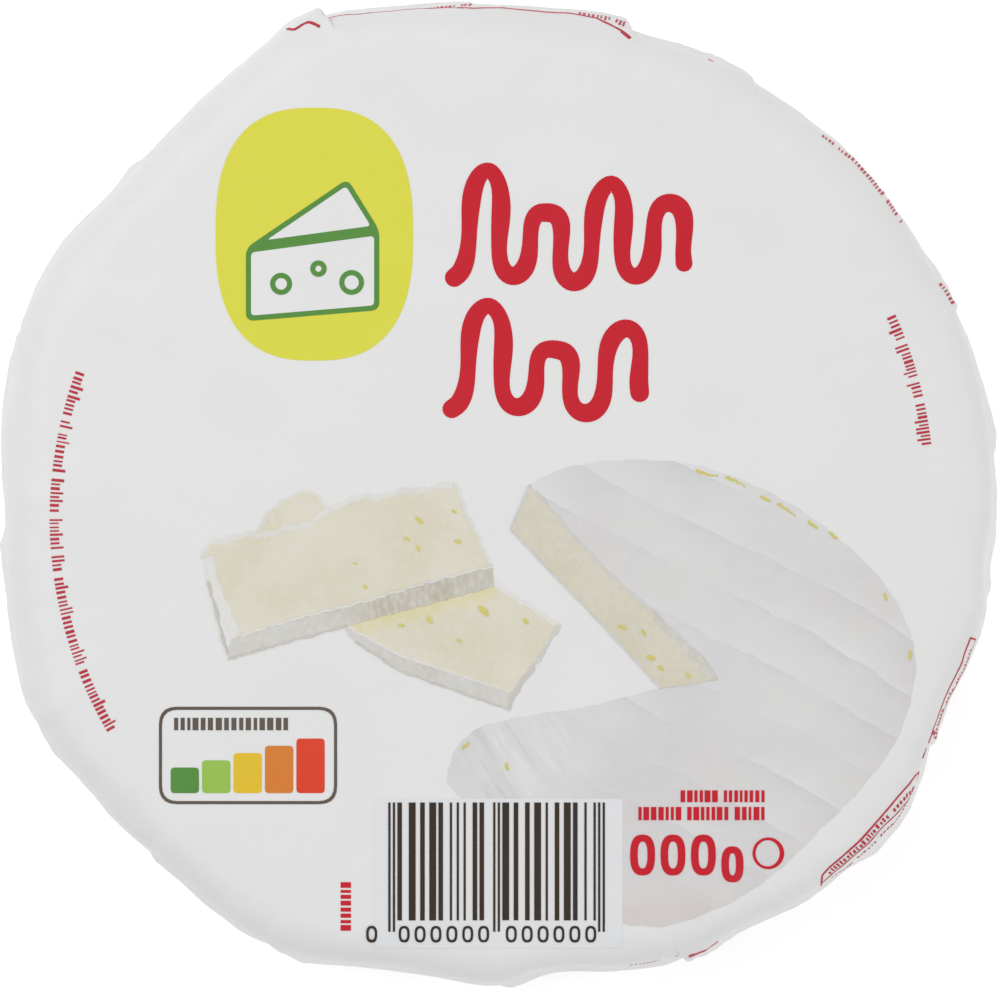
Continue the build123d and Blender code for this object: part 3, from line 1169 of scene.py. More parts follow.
# Shares of a panel where its columns lie, and shares of the radius, or lengths past the edge of the face,
# where the rings lie. Both are close together where the film bends.
PANEL_SHARES = np.concatenate(([0.0, 0.015, 0.04, 0.075, 0.12], np.linspace(0.165, 0.88, 21),
                               [0.925, 0.96, 0.985, 1.0]))
FACE_SHARES = np.concatenate((np.linspace(0.0, 0.72, 17), np.linspace(0.74, 0.97, 14), [0.985]))
SIDE_PASTS = np.concatenate((np.linspace(0.0, PAST_SHOULDER, 11),
                             np.linspace(PAST_SHOULDER, PAST_SIDE, 22)[1:],
                             np.linspace(PAST_SIDE, PAST_FOOT, 8)[1:]))
BASE_SHARES = np.concatenate((np.linspace(0.985, 0.2, 22), np.linspace(0.17, 0.0, 7)))


def ring_past(kind, value, degrees):
    """How far past the edge of the face a ring lies, at each angle."""
    if kind == "face":
        return -(1 - value) * (outline_at(degrees) - SHOULDER)
    if kind == "base":
        return BASE_START + (outline_at(degrees) - FOOT) * (1 - value)
    return np.full(len(degrees), value)


def lip_angles(kind, value):
    """Angle of each lip where it crosses a ring."""
    lips = FOLD_ANGLE.copy()
    for _ in range(4):
        past = ring_past(kind, value, lips)
        lips = np.diagonal(fold_angles(past, solid_radius(lips, past))).copy()
    return lips


def film_ring(kind, value):
    """Angle and stand of each point of a ring, anticlockwise, with the folds' lips and pockets."""
    lips = lip_angles(kind, value)
    degrees, stands = [], []
    for fold, lip in enumerate(lips):
        following = (fold + 1) % len(lips)
        wide = np.mod(lips[following] - lip, 360.0)
        turn = lip + PANEL_SHARES * wide
        past = ring_past(kind, value, turn)
        radius = solid_radius(turn, past)
        stand = stand_out(np.full(len(turn), fold), PANEL_SHARES, past, radius)
        end = turn[-1:]
        top = stand_out(np.array([following]), np.zeros(1), past[-1:], radius[-1:])[0]
        bottom = stand[-1]
        step = top - bottom
        if step < SHALLOWEST:
            stand[-1] = under = top
            pocket = lip_edge = thick = gap = 0.0
        else:
            under = bottom
            reach = max(radius[-1], LEAST_RADIUS)
            pocket = np.degrees(min(TUCK, 3 * step, 0.3 * reach * radians(wide)) / reach)
            thick = min(LIP_THICKNESS, 0.4 * step)
            gap = GAP_SHARE * step
            lip_edge = np.degrees(0.4 * thick / reach)
        degrees.append(np.concatenate((turn, end + pocket, end + pocket, end, end - lip_edge)))
        stands.append(np.concatenate((stand, [under, under + gap, top - thick, top - thick / 2])))
    return np.concatenate(degrees), np.concatenate(stands)


RING_VALUES = {"face": FACE_SHARES, "side": SIDE_PASTS, "base": BASE_SHARES}
RINGS = [(kind, value) for kind, values in RING_VALUES.items() for value in values]
print(f"{len(RINGS)} rings of {len(FOLDS) * (len(PANEL_SHARES) + 4)} points")

# %% Fold the film round the wheel


def flat_film(name):
    """The flat film as one grid, dressed for the folding tree."""
    degrees, stands, pasts = [], [], []
    for kind, value in RINGS:
        turn, stand = film_ring(kind, value)
        degrees.append(turn)
        stands.append(stand)
        pasts.append(ring_past(kind, value, turn))
    columns = len(degrees[0])
    degrees, stands, pasts = (np.concatenate(some) for some in (degrees, stands, pasts))
    radius = outline_at(degrees) - SHOULDER + pasts
    points = np.column_stack((at_angles(degrees, radius), np.zeros(len(radius))))
    faces = []
    for ring in range(len(RINGS) - 1):
        for column in range(columns):
            a, b = ring * columns + column, ring * columns + (column + 1) % columns
            faces.append((a, a + columns, b + columns, b))
    piece = flat_mesh(name, [(points, faces)])
    dress(piece, degrees, pasts, stands)
    return piece


film = fold_round(flat_film("film"), WHITE_FILM)
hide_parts("wrapped_wheel")
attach(film, "root")
print("film:", len(film.data.vertices), "points,", len(film.data.polygons), "faces")

# %% [markdown]
# ## The badge
# A lime field with a small sign on it stands at the upper left. The sign is a generic one: a wedge of
# cheese, white with a green outline. The green shape lies under the white ones, so its edge shows round
# them as an even line.

# %% Print the badge
WEDGE_TOP = [(-36.7, 35.6), (-17.4, 38.2), (-22.0, 45.6)]
WEDGE_FRONT = [(-36.7, 35.6), (-36.7, 25.0), (-17.4, 26.6), (-17.4, 38.2)]
WEDGE_OUTLINE = WEDGE_FRONT + WEDGE_TOP[2:]
LINE = 0.75  # width of the sign's lines, in millimetres
WEDGE_HOLES = [((-31.6, 30.4), 1.6), ((-26.2, 32.6), 1.2), ((-21.4, 30.6), 1.8)]

field_shape = slab([superellipse((-26.8, 37.6), (14.3, 18.3), 2.6)], FIELD)
print_on_film("badge", [field_shape], INKS["lime"])
green_shapes = [slab([rounded(WEDGE_OUTLINE, 1.2)], OVER)]
white_shapes = [slab([rounded(inset(field, LINE), 0.6)], DETAIL) for field in (WEDGE_TOP, WEDGE_FRONT)]
for centre, size in WEDGE_HOLES:
    loops = [superellipse(centre, (part, part), 2, 28) for part in (size, size - LINE)]
    green_shapes.append(slab(loops, TOPMOST))
print_on_film("sign_outline", green_shapes, INKS["green"])
print_on_film("sign_fields", white_shapes, WHITE_FILM)

# %% [markdown]
# ## Red marks on the face
# Where a pack has its name, this one has two lines of loose waves, painted as with a round brush. Where it
# has small print, it has rows of marks. The rows near the edge follow the rim.

# %% Paint the waves and the rows on the face
BRUSH = 2.5  # width of the brush, in millimetres
UPPER_CRESTS = (15.2, 9.6, 14.0, 10.4)  # heights of the crests of each line, in millimetres
LOWER_CRESTS = (14.6, 8.8, 12.0)


def loose_wave(left, right, foot, crests):
    """Points of a line that swings up and down with steep sides and round crests."""
    turns = np.linspace(0.15, 2 * pi * len(crests) - 0.9, 18 * len(crests))
    pitch = (right - left) / len(crests)
    height = np.interp(turns, 2 * pi * (np.arange(len(crests)) + 0.5), crests)
    raised = height * (1 - np.cos(turns)) / 2
    across = left + pitch * turns / (2 * pi) + 0.085 * pitch * np.sin(2 * turns)
    return np.column_stack((across + 0.06 * raised, foot + raised + 0.5 * np.sin(0.37 * turns)))


def arc(radius, start, end, middle=(0.0, 0.0)):
    """Points of an arc from one angle to another, in millimetres and degrees."""
    return at_angles(np.linspace(start, end, int(end - start) + 2), radius) + middle


paths = (loose_wave(-7.0, 28.6, 31.2, UPPER_CRESTS), loose_wave(-7.4, 22.4, 12.2, LOWER_CRESTS))
waves = [slab([stroke(path, BRUSH, 0.1)], FIELD, 1.5) for path in paths]
print_on_film("title_waves", waves, INKS["red"])

FINE = {"narrowest": 0.2, "widest": 0.44, "smallest_gap": 0.22, "largest_gap": 0.4, "word_gap": 0.7,
        "word_share": 0.1}
THICK = {"thickness": FIELD + UNDER}


def fine_row(path, seed, height, low_height):
    """A row of small marks along a flat path."""
    return row_of_marks(path, seed, height=height, low_height=low_height, **FINE, **THICK)


face_rows = [fine_row(arc(61.7, 159.8, 210.6, (-3.4, -3.5)), 3, 1.85, 1.3),
             fine_row(arc(62.9, 6.6, 24.6), 8, 1.9, 1.35)]
print("rows on the face:", [len(shape[1]) for shape in face_rows])

# %% [markdown]
# ## Gauge, bar code and weight mark
# The lower half of the face has the useful signs of such a pack. They are made generic: a gauge of five
# rising bars in a grey frame, a bar code of invented bars, and marks in place of the weight.

# %% Draw the gauge and print its frame
GAUGE_INKS = (("green", "ink_green"), ("light_green", "ink_green"), ("yellow", "ink_yellow"),
              ("orange", "ink_orange"), ("warm_red", "ink_red"))
GAUGE_LEFT, GAUGE_FOOT, GAUGE_TOP = -47.6, -43.3, -39.6  # of the first bar, in millimetres
GAUGE_BAR, GAUGE_PITCH, GAUGE_RISE = 4.1, 4.55, 1.05  # width of a bar, and from one to the next
FRAME = (-49.3, -23.5, -44.9, -30.8)  # left, right, bottom and top of the frame
FRAME_LINE = 0.45  # width of the frame's line

gauge_shapes = []
for k in range(len(GAUGE_INKS)):
    left = GAUGE_LEFT + GAUGE_PITCH * k
    bar = rectangle(left, left + GAUGE_BAR, GAUGE_FOOT, GAUGE_TOP + GAUGE_RISE * k, 0.6)
    gauge_shapes.append([slab([bar], FIELD)])
inner_frame = np.add(FRAME, (FRAME_LINE, -FRAME_LINE, FRAME_LINE, -FRAME_LINE))
frame_shape = slab([rectangle(*FRAME, 2.6), rectangle(*inner_frame, 2.25)], FIELD)
heading = row_of_marks([(-47.1, -34.2), (-30.1, -34.2)], 5, height=1.8, low_height=1.8, narrowest=0.4,
                       widest=0.9, smallest_gap=0.3, largest_gap=0.4, word_share=0.0, **THICK)
print_on_film("panel_frame", [frame_shape, heading], INKS["grey"])

# %% Print the bar code
BAR = 0.33  # the narrowest bar, in millimetres
CODE_LEFT, CODE_BOTTOM, CODE_TOP = -16.1, -61.7, -44.65
GUARD_BOTTOM = -63.35  # the guard bars reach further down than the others
GUARDS = (0, 2, 46, 48, 92, 94)  # their modules, counted from the left
HALVES = ((4, 45, 21), (50, 91, 34))  # first and last module of each half, and its seed
BLOCKS = ((-18.5, 1), (-13.8, 6), (1.7, 6))  # where each run of blocks starts, and how many it has
BLOCK_ROW = -63.7  # height on the face of the row of blocks under the bars
BLOCK_PITCH = 2.3  # from one block to the next
print_on_film("code_panel", [slab([rectangle(-18.1, 17.8, -65.7, -44.1)], OVER, 1.2)], WHITE_FIELD)
code_shapes = []
for module in GUARDS:
    left = CODE_LEFT + module * BAR
    code_shapes.append(slab([rectangle(left, left + BAR, GUARD_BOTTOM, CODE_TOP)], TOPMOST))
for first, last, seed in HALVES:
    path = [(CODE_LEFT + module * BAR, CODE_BOTTOM) for module in (first, last)]
    code_shapes.append(row_of_marks(
        path, seed, narrowest=0.7 * BAR, widest=3.0 * BAR, smallest_gap=0.7 * BAR, largest_gap=3.9 * BAR,
        word_share=0.0, module=BAR, height=CODE_TOP - CODE_BOTTOM, low_height=CODE_TOP - CODE_BOTTOM,
        thickness=TOPMOST + UNDER, cuts=14))
for first, count in BLOCKS:
    for k in range(count):
        middle = (first + k * BLOCK_PITCH, BLOCK_ROW)
        code_shapes.append(slab([superellipse(middle, (0.8, 1.2), 2.6, 24),
                                 superellipse(middle, (0.45, 0.85), 2.6, 20)], TOPMOST))
print_on_film("code_bars", code_shapes, INKS["dark"])

# %% Draw the weight mark and the small rows beside it
BOLD = {"narrowest": 0.35, "widest": 0.85, "smallest_gap": 0.24, "largest_gap": 0.34, "word_gap": 0.6,
        "word_share": 0.1}
WEIGHT_BLOCKS = ((18.9, 22.5, -55.2, -49.3), (23.3, 26.9, -55.2, -49.3), (27.7, 31.3, -55.2, -49.3),
                 (32.1, 35.3, -56.2, -51.0))  # left, right, bottom and top of each
weight_shapes = [slab([superellipse((38.9, -52.0), (2.3, 2.3), 2, 32),
                       superellipse((38.8, -52.0), (1.75, 1.9), 2, 32)], DETAIL)]
for left, right, bottom, top in WEIGHT_BLOCKS:
    middle, half = ((left + right) / 2, (bottom + top) / 2), ((right - left) / 2, (top - bottom) / 2)
    weight_shapes.append(slab([superellipse(middle, half, 2.6, 40),
                               superellipse(middle, (half[0] - 1.1, half[1] - 1.0), 2.6, 32)], DETAIL))
WEIGHT_ROWS = (  # start and end, seed, height of the marks and lift
    ([(26.2, -44.6), (39.2, -44.6)], 51, 1.7, DETAIL),
    ([(20.1, -47.2), (39.2, -47.2)], 52, 1.9, DETAIL),
    ([(-21.5, -63.2), (-21.5, -56.0)], 53, 1.5, FIELD),
)
weight_rows = [row_of_marks(path, seed, height=height, low_height=height, thickness=lift + UNDER, **BOLD)
               for path, seed, height, lift in WEIGHT_ROWS]
print("weight mark:", len(weight_shapes), "shapes and", len(weight_rows), "rows")

# %% [markdown]
# ## The pictured cheese
# Flat fields make the picture on the wrap: the rind of the wheel, the paste where it is cut, and two slices
# with their rind along one side. Their edges sway a little, as cut cheese does.

# %% Edges that sway and crumble
CRUMB = 0.16  # millimetres that a crumbly edge sways
CRUMB_LENGTH = 2.6  # millimetres from one sway to the next


def pictured(line, sway=0.12, length=5.0):
    """A smooth line that sways a little, for the edges of the pictured cheese."""
    return rippled(smooth_line(line, 10), sway, length)


def ragged(line, sway=CRUMB, length=CRUMB_LENGTH):
    """A line through points, with the small, uneven sway of a crumbly edge."""
    broad = rippled(divided(np.array(line, float), 0.6, False), sway, length)
    return rippled(broad, 0.5 * sway, 0.37 * length, 1.0)


def ragged_loop(corners, sway=CRUMB):
    """A closed loop through points, with a crumbly edge."""
    return ragged(corners + corners[:1], sway)[:-1]


def band(line, thin, thick):
    """The outline of a band along a line, with its width swaying between thin and thick."""
    left = directions(line)[1]
    sway = 0.5 + 0.35 * np.sin(0.9 * np.arange(len(line))) + 0.15 * np.sin(2.1 * np.arange(len(line)))
    half = (0.5 * (thin + (thick - thin) * sway))[:, None]
    return np.concatenate((line - left * half, (line + left * half)[::-1]))


def crumbly_band(line, sway, length, thin, thick, lift):
    """A crumbly band of ink along a line."""
    return slab([band(ragged(line, sway, length), thin, thick)], lift, 1.0)


def joined(*lines):
    """One loop from lines that each start where the one before ends."""
    return np.concatenate([line[:-1] for line in lines])


print("a crumbly line over 5 mm has", len(ragged([(0, 0), (5, 0)])), "points")

# %% Print the pictured wheel
WHEEL_TOP = [
    (4.2, 1.2), (8, 3.2), (14, 4.6), (21.5, 4.9), (29, 4.0), (37, 1.2), (44, -2.6), (50, -7.2), (55, -12.2),
    (58.6, -18), (60.2, -25), (58.2, -34), (53.4, -41.4), (47, -48), (42, -53), (37, -57), (30.6, -60.4),
    (24, -62.5), (18, -62.2), (12, -60)]
WHEEL_EDGE = [
    (2.0, -46.5), (-4.7, -44.6), (-7.4, -41.6), (-6.9, -38.2), (-4.9, -35.2), (-1.7, -33.4), (4.8, -32.0),
    (12.2, -30.9), (23.3, -28.2), (31.7, -26.9)]
WHEEL_NOTCH = [
    (31.7, -26.9), (30.2, -24.8), (25.6, -20.6), (20.8, -16.4), (16.4, -12.5), (11.6, -7.4), (7.1, -1.9),
    (4.2, 1.2)]
CUT_OUTER = [(4.3, 1.3), (3.2, -1.4), (1.6, -5.1), (8.0, -11.8), (14.4, -18.4), (23.3, -28.1)]
CUT_CORNER = (27.6, -27.6)
CUT_TOP = [
    (31.4, -26.8), (29.6, -24.0), (25.6, -20.2), (20.8, -15.9), (16.4, -12.1), (11.6, -7.2), (7.2, -1.9),
    (4.3, 1.3)]
CUT_SHADE = [(30.6, -26.7), (29.0, -24.4), (25.2, -20.6), (22.4, -17.9)]
rind_loop = (pictured(WHEEL_TOP), pictured(WHEEL_EDGE, 0.15)[:-1], smooth_line(WHEEL_NOTCH)[:-1])
print_on_film("pictured_wheel", [slab([np.concatenate(rind_loop)], FIELD, 1.15)], RIND_PICTURE)

# %% Draw the slices
UPPER_SLICE_TOP = [
    (-43.0, -8.6), (-41.0, -6.4), (-36.0, -5.6), (-31.0, -4.8), (-27.0, -3.6), (-22.5, -0.8), (-17.0, 0.2),
    (-11.5, 1.0), (-6.2, 1.7)]
UPPER_SLICE_END = [(-6.2, 1.7), (-4.6, -2.6), (-2.8, -6.4), (-1.0, -10.6)]
UPPER_SLICE_LOW = [(-1.0, -10.6), (-10.0, -12.9), (-20.0, -15.9), (-30.0, -18.4), (-38.8, -21.1)]
UPPER_SLICE_RIND = [(-38.8, -21.1), (-40.6, -16.8), (-42.4, -12.4), (-43.0, -8.6)]
UPPER_CRUST = UPPER_SLICE_LOW + [
    (-39.4, -24.1), (-30.0, -21.3), (-20.0, -18.5), (-10.0, -15.9), (-0.9, -13.4)]
BEHIND_SLICE = [(-35.6, -6.2), (-33.2, -2.2), (-28.6, 0.6), (-26.2, -0.2), (-24.6, -2.2), (-26.6, -4.6)]
LOWER_SLICE = [
    (-22.8, -19.0), (-12.0, -14.6), (-0.9, -12.6), (3.4, -15.2), (8.9, -18.9), (5.6, -24.4), (1.9, -29.0),
    (-6.0, -26.4), (-14.4, -23.6)]
LOWER_END = LOWER_SLICE[4:7]
LOWER_CRUST = LOWER_SLICE[:1] + LOWER_SLICE[:5:-1] + [
    (1.5, -31.4), (-6.4, -28.6), (-14.6, -25.6), (-21.4, -21.0)]
SHADED_EDGES = (  # line, and its least and most width
    ([(-39.2, -23.8), (-36.2, -22.9), (-33.0, -22.0), (-28.6, -20.8), (-22.0, -19.0)], 0.15, 0.5),
    ([(-42.2, -12.6), (-41.2, -16.2), (-40.4, -19.4), (-39.3, -23.4)], 0.1, 0.6),
    ([(-20.9, -21.3), (-14.6, -25.5), (-6.4, -28.4), (1.2, -31.1)], 0.1, 0.4),
    ([(4.9, -25.0), (1.9, -29.2), (1.4, -31.0)], 0.3, 0.8),
)
LOW_PASTE = (FIELD + OVER) / 2  # lift of what lies behind the upper slice

slice_top, slice_left = pictured(UPPER_SLICE_TOP, 0.35, 6.0), pictured(UPPER_SLICE_RIND, 0.2, 3.0)
slice_end, slice_low = ragged(UPPER_SLICE_END), ragged(UPPER_SLICE_LOW)
upper_edge = joined(slice_top, slice_end, slice_low, slice_left)
upper_paste = joined(slice_top - (0.1, 0.9), slice_end - (0.5, 0.0), slice_low + (0.0, 0.45),
                     slice_left + (1.7, 0.1))
lower_paste = joined(ragged(LOWER_SLICE[:5]) - (0.3, 0.6), ragged(LOWER_END) - (0.7, 0.2),
                     ragged(LOWER_SLICE[6:] + LOWER_SLICE[:1]) + (0.0, 0.4))
behind = pictured(BEHIND_SLICE + BEHIND_SLICE[:1], 0.2, 3.0)[:-1]
behind_middle = behind.mean(axis=0)
behind_paste = behind_middle + 0.86 * (behind - behind_middle)
print("the edge of the upper slice has", len(upper_edge), "points")

# %% Print the slices and the cut face
shades = [crumbly_band(line, 0.1, 3.3, thin, thick, TOPMOST + 0.02) for line, thin, thick in SHADED_EDGES]
rinds = [slab([upper_edge], OVER, 1.5), slab([ragged_loop(LOWER_SLICE)], FIELD, 1.5),
         slab([behind], FIELD, 1.2)]
crusts = [
    slab([ragged_loop(UPPER_CRUST, 0.12)], TOPMOST, 1.2),
    slab([ragged_loop(LOWER_CRUST, 0.12)], DETAIL, 1.2),
    crumbly_band(CUT_OUTER, 0.08, 4.1, 0.12, 0.5, TOPMOST),
    crumbly_band(CUT_TOP, 0.1, 4.7, 0.12, 0.6, TOPMOST),
    crumbly_band(CUT_SHADE, 0.1, 3.1, 0.5, 1.3, TOPMOST - 0.02),
    slab([band(ragged(LOWER_END) - (0.25, 0.0), 0.2, 0.8)], DETAIL, 1.0),
]
pastes = [slab([upper_paste], TOPMOST, 1.5), slab([lower_paste], LOW_PASTE, 1.5),
          slab([behind_paste], LOW_PASTE, 1.2)]
cut_loop = np.array([*CUT_OUTER, CUT_CORNER, *CUT_TOP[:-1]])
print_on_film("slice_shades", shades, SHADE_INK)
print_on_film("slice_rinds", rinds, SLICE_RIND)
print_on_film("slice_crusts", crusts, CRUST_PICTURE)
print_on_film("slice_pastes", pastes, PASTE_PICTURE)
print_on_film("cut_face", [slab([cut_loop], DETAIL, 1.5)], CUT_PICTURE)

# %% Print the holes in the paste and the specks on the rind
HOLES = (  # middle and half width, in millimetres
    (-11.6, -3.8, 0.8), (-13.4, -6.5, 0.6), (-11.8, -7.9, 0.6), (-6.0, -6.9, 0.7), (-6.6, -2.5, 0.5),
    (-19.4, -13.4, 0.5), (-20.9, -10.0, 0.4), (-2.3, -16.9, 1.1), (-10.1, -18.2, 0.7), (-14.2, -19.0, 0.5),
    (3.8, -18.4, 0.6), (-5.9, -21.2, 0.5), (17.8, -19.3, 0.7), (20.9, -20.1, 0.6), (21.9, -23.7, 0.8),
    (23.3, -25.2, 0.6), (27.3, -26.3, 0.6),
)
SPECKS = (
    [(28.4, 3.4), (30.0, 2.9), (31.6, 2.6)], [(32.6, 2.2), (34.0, 1.9), (35.6, 1.2)],
    [(37.7, -0.4), (39.2, -1.0)], [(40.1, -1.6), (41.4, -2.2), (42.9, -3.1)], [(44.6, -4.0), (46.0, -4.9)],
    [(47.6, -5.6), (48.9, -6.5)], [(55.6, -14.4), (56.0, -15.4)], [(59.2, -22.6), (59.4, -24.0)],
    [(-4.6, -35.8), (-5.4, -36.9)], [(0.9, -38.9), (1.2, -40.0)],
)
holes = []
for number, (x, y, size) in enumerate(HOLES):
    lean = 0.4 * sin(2.3 * number) - 0.6
    oval = rippled(superellipse((0, 0), (0.9 * size, 0.42 * size), 2, 16), 0.07, 1.7, number)
    turned = oval @ [[cos(lean), sin(lean)], [-sin(lean), cos(lean)]]
    holes.append(slab([turned + (x, y)], TOPMOST + 0.03))
print_on_film("paste_holes", holes, HOLE_INK)
specks = [crumbly_band(speck, 0.22, 1.1, 0.12, 0.5, DETAIL) for speck in SPECKS]
print_on_film("rind_specks", specks, HOLE_INK)

# %% [markdown]
# ## The bars of the gauge
# Each bar of the gauge has its own ink, so each is a piece of its own.

# %% Print the bars of the gauge
for (colour, slot), shapes in zip(GAUGE_INKS, gauge_shapes):
    print_on_film(f"gauge_{colour}", shapes, INKS[colour])

# %% [markdown]
# ## Print on the rim
# The sheet is printed further out than the face, so thin red frames and rows of small print come over the
# shoulder. A frame can't cross a fold: it stops at the lip and goes on beyond it. So each line is cut where
# it meets a lip that stands up.

# %% Lines and rows round the rim
EDGE = SHOULDER / MM  # how far the edge of the face lies inside the outline, in millimetres
MEAN_RADIUS = 68.0  # of the rim, in millimetres
PROUD = 0.03  # a lip that stands up more than this, in millimetres, cuts a line
RIM_STEP = 0.9  # size of the triangles of print on the rim


def on_rim(degrees, past):
    """Flat places in millimetres for angles and millimetres past the edge of the face."""
    degrees = np.atleast_1d(np.asarray(degrees, float))
    return at_angles(degrees, outline_at(degrees) / MM - EDGE + past)


def stretches(start, end, past, margin=0.35):
    """The parts of a line along the rim that lie between lips, in degrees."""
    where = np.full(1, past * MM)
    cuts = []
    for fold in range(len(FOLDS)):
        if FOLD_DEPTH[fold] * smooth(past, FOLD_START[fold], FOLD_START[fold] + RAMP) > PROUD:
            lip = FOLD_ANGLE[fold] + way_down(where)[0] * FOLD_TURN[fold]
            cuts += [lip + turn for turn in (-360.0, 0.0, 360.0) if start < lip + turn < end]
    ends = sorted([start, *cuts, end])
    gap = np.degrees(margin / MEAN_RADIUS)
    found = [(a + (gap if a in cuts else 0), b - (gap if b in cuts else 0)) for a, b in zip(ends, ends[1:])]
    return [(a, b) for a, b in found if b - a > 3 * gap]


def rim_line(start, end, past, width=0.3):
    """A line parallel to the edge of the face."""
    shapes = []
    for a, b in stretches(start, end, past):
        turns = np.linspace(a, b, max(3, int(b - a) + 2))
        loop = np.concatenate((on_rim(turns, past - width / 2), on_rim(turns, past + width / 2)[::-1]))
        shapes.append(slab([loop], FIELD, RIM_STEP))
    return shapes


def rim_tick(degrees, past, length, width=0.3):
    """A short line that runs down the rim."""
    down = np.linspace(0, 1, max(3, int(length) + 2))
    middle_line = on_rim(np.full(len(down), degrees), past + length * down)
    side = np.array([-sin(radians(degrees)), cos(radians(degrees))]) * width / 2
    return slab([np.concatenate((middle_line + side, (middle_line - side)[::-1]))], FIELD, RIM_STEP)


def rim_row(start, end, past, seed, height, outwards=False):
    """A row of marks along the rim. Outwards turns its feet to the middle of the face."""
    shapes = []
    for number, (a, b) in enumerate(stretches(start, end, past, 0.6)):
        turns = np.linspace(a, b, max(3, int(2 * (b - a)) + 2))
        path = on_rim(turns[::-1] if outwards else turns, past)
        shapes.append(fine_row(path, seed + number, height, 0.7 * height))
    return [shape for shape in shapes if len(shape[0])]


print("stretches of a line at the upper right:", len(stretches(10, 100, 4.0)))

# %% Print the rim


def laid_flat(points):
    """Places on the flat sheet of points seen from above. Past the face's edge they are on the shoulder."""
    degrees, radius = angles_of(np.array(points, float))
    out = radius - (outline_at(degrees) / MM - EDGE)
    past = np.where(out > 0, EDGE * np.arcsin(np.clip(out / EDGE, 0.0, 0.995)), out)
    return on_rim(degrees, past)


def plan_line(points, width):
    """A line drawn in plan, laid flat."""
    line = divided(laid_flat(divided(smooth_line(points, 4), 0.8, False)), RIM_STEP, False)
    return slab([band(line, width, width)], FIELD, RIM_STEP)


def plan_row(points, seed, height):
    """A row of marks drawn in plan, laid flat."""
    return fine_row(laid_flat(divided(np.array(points, float), 0.8, False)), seed, height, 0.75 * height)


# Lines in plan, each with its width: the frame at the top, its part on the ear, the two lines at the lower
# right, and two short ends. The low lines are two more ends, at the bottom.
PLAN_LINES = (
    ([(-24.9, 68.3), (-24.3, 69.2), (-14.5, 70.4), (-8.7, 70.6), (-1.8, 70.1), (2.3, 70.4), (7.4, 70.0),
      (9.9, 69.4), (14.3, 67.9), (17.5, 66.7), (18.9, 65.9)], 0.35),
    ([(-30.5, 67.4), (-30.7, 66.8), (-29.4, 66.75), (-27.45, 67.6), (-25.9, 67.4)], 0.4),
    ([(60.9, -42.0), (60.4, -40.9), (52.5, -49.9), (47.5, -54.7), (46.9, -56.0), (47.1, -57.4)], 0.3),
    ([(60.9, -42.8), (52.5, -51.8), (47.0, -56.8)], 0.2),
    ([(17.6, 66.6), (18.9, 65.8)], 0.6),
    ([(31.3, 65.2), (32.2, 65.1)], 0.5),
)
LOW_LINES = (
    ([(27.3, -66.6), (29.8, -66.1), (32.0, -65.5)], 0.5),
    ([(25.7, -68.1), (26.3, -68.0)], 0.5),
)
SIDE_ROWS = (23.0, 25.0, 27.0, 29.0)  # how far past the edge of the face the rows on the side lie
rim_shapes = [plan_line(*line) for line in PLAN_LINES]
rim_shapes += rim_row(93.2, 98.8, 11.8, 100, 1.9) + rim_row(73.6, 81, 9.8, 110, 1.9)
rim_shapes += rim_row(34, 48, 6.7, 130, 1.9, outwards=True)
rim_shapes += rim_row(21.5, 25.5, 6.7, 140, 1.9, outwards=True)
rim_shapes += rim_line(328, 343, 5.7) + [rim_tick(343, 5.7, 3.0), rim_tick(331.2, 5.9, 1.2, 0.7)]
rim_shapes += rim_line(328, 343, 9.2, 0.25) + rim_row(328.5, 342, 8.6, 160, 1.5)
rim_shapes += [plan_row([(48.2, -55.4), (52.4, -51.6), (60.2, -42.8)], 170, 0.95),
               plan_row([(49.2, -56.9), (53.4, -52.8), (61.4, -43.9)], 180, 0.9)]
rim_shapes += [plan_line(*line) for line in LOW_LINES]
rim_shapes += rim_row(285, 289, 7.4, 190, 1.3, outwards=True)
side_shapes = rim_line(12, 108, 21.4) + rim_line(12, 108, 30.4) + rim_line(284, 343, 30.4)
for number, past in enumerate(SIDE_ROWS):
    side_shapes += rim_row(16, 104, past, 200 + 20 * number, 1.4)
    side_shapes += rim_row(287, 340, past, 300 + 20 * number, 1.4)
print_on_film("rim_print", rim_shapes + side_shapes + face_rows, INKS["small_red"])
print_on_film("weight_mark", weight_shapes + weight_rows, INKS["red"])

# %% [markdown]
# ## Camera, light and floor
# The wheel lies on a plain pale floor and is seen from straight above, from far away, so that its sides
# don't show. The light is soft: an even white sky, a large lamp to the upper left that gives the creases
# their shade, and a weaker one to the right. Together they are as strong as it takes for a colour to come
# out as it is written.

# %% Set the camera
IMAGE_WIDTH = 145.6 * MM  # what the picture's width shows, at the widest part of the wheel
WIDEST = 18 * MM  # height of that part
CAMERA_PLACE = (0.07 * MM, -0.15 * MM, 2.4)
camera_data = bpy.data.cameras.new("camera")
camera_data.sensor_width = 36.0
camera_data.lens = camera_data.sensor_width * (CAMERA_PLACE[2] - WIDEST) / IMAGE_WIDTH
camera_data.clip_end = 20.0
camera = bpy.data.objects.new("camera", camera_data)
camera.location = CAMERA_PLACE
bpy.context.scene.collection.objects.link(camera)
bpy.context.scene.camera = camera
print(f"lens {camera_data.lens:.0f} mm")

# %% Light the wheel
LAMPS = (  # name, place, size in metres and power in watts
    ("main_lamp", (-0.34, 0.28, 0.72), 0.6, 2.0),
    ("fill_lamp", (0.9, -0.2, 0.5), 0.8, 1.4),
)
LAMP_AIM = Vector((0.0, 0.0, 0.02))
SKY = 0.68  # share of the light that comes from all round
WHITE = (1.0, 1.0, 1.0, 1.0)


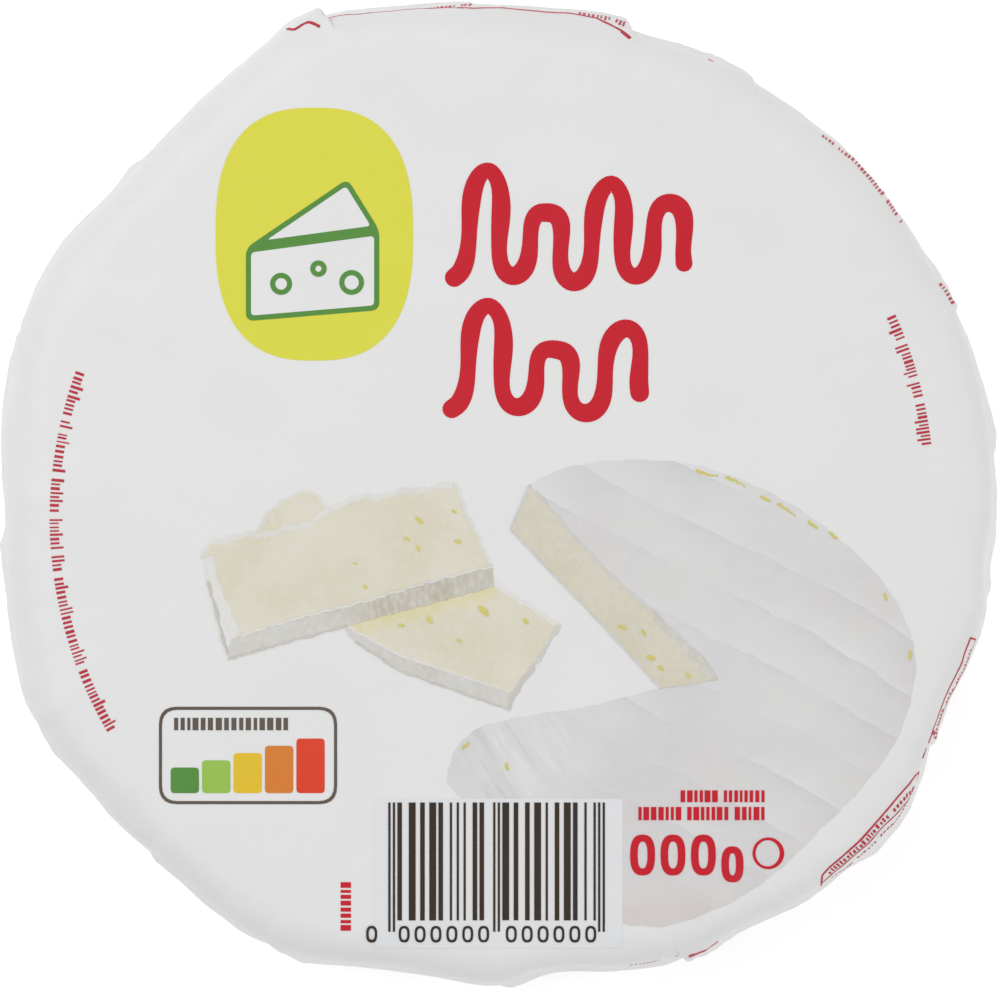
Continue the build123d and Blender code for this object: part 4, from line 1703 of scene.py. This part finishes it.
def looked_at(tree):
    """1 for what is seen, straight or in a gloss or glass, and 0 for what only lights other things."""
    ray = tree.nodes.new("ShaderNodeLightPath").outputs
    through = maths(tree, "MAXIMUM", ray["Is Glossy Ray"], ray["Is Transmission Ray"])
    return maths(tree, "MAXIMUM", ray["Is Camera Ray"], through)


for name, place, size, power in LAMPS:
    lamp_data = bpy.data.lights.new(name, "AREA")
    lamp_data.size = size
    lamp_data.energy = power
    lamp = bpy.data.objects.new(name, lamp_data)
    lamp.location = place
    lamp.rotation_euler = (LAMP_AIM - Vector(place)).to_track_quat("-Z", "Y").to_euler()
    bpy.context.scene.collection.objects.link(lamp)

world = bpy.data.worlds.new("studio")
bpy.context.scene.world = world
world.use_nodes = True
tree = world.node_tree
tree.nodes.clear()
sky_light = maths(tree, "MULTIPLY_ADD", looked_at(tree), 1.0 - SKY, SKY)
sky = node(tree, "ShaderNodeBackground", WHITE, sky_light)
by_name(tree, "ShaderNodeOutputWorld", {"Surface": sky.outputs[0]})
bpy.context.scene.view_settings.view_transform = "Standard"
print(len(LAMPS), "lamps and a sky")

# %% Lay the floor
FLOOR_HALF = 6.0  # half its width, in metres
FLOOR_GLOW = 0.38  # what the floor adds where it is looked at, so that it comes out white


def floor_finish(tree):
    """Inputs of the floor's shader: dull and pale, with a glow that lights nothing."""
    return {"Base Color": (0.93, 0.93, 0.93, 1.0), "Roughness": 0.9, "Specular IOR Level": 0.0,
            "Emission Color": WHITE, "Emission Strength": times(tree, looked_at(tree), FLOOR_GLOW)}


corners = [(x * FLOOR_HALF, y * FLOOR_HALF, 0) for x, y in ((-1, -1), (1, -1), (1, 1), (-1, 1))]
floor_mesh = bpy.data.meshes.new("floor")
floor_mesh.from_pydata(corners, [], [(0, 1, 2, 3)])
floor_mesh.materials.append(new_material("floor_white", floor_finish))
floor = bpy.data.objects.new("floor", floor_mesh)
bpy.context.scene.collection.objects.link(floor)
print(f"a floor {2 * FLOOR_HALF:.0f} m wide")

# %% Clear up
profile_data = profile.data
bpy.data.objects.remove(profile)
bpy.data.curves.remove(profile_data)
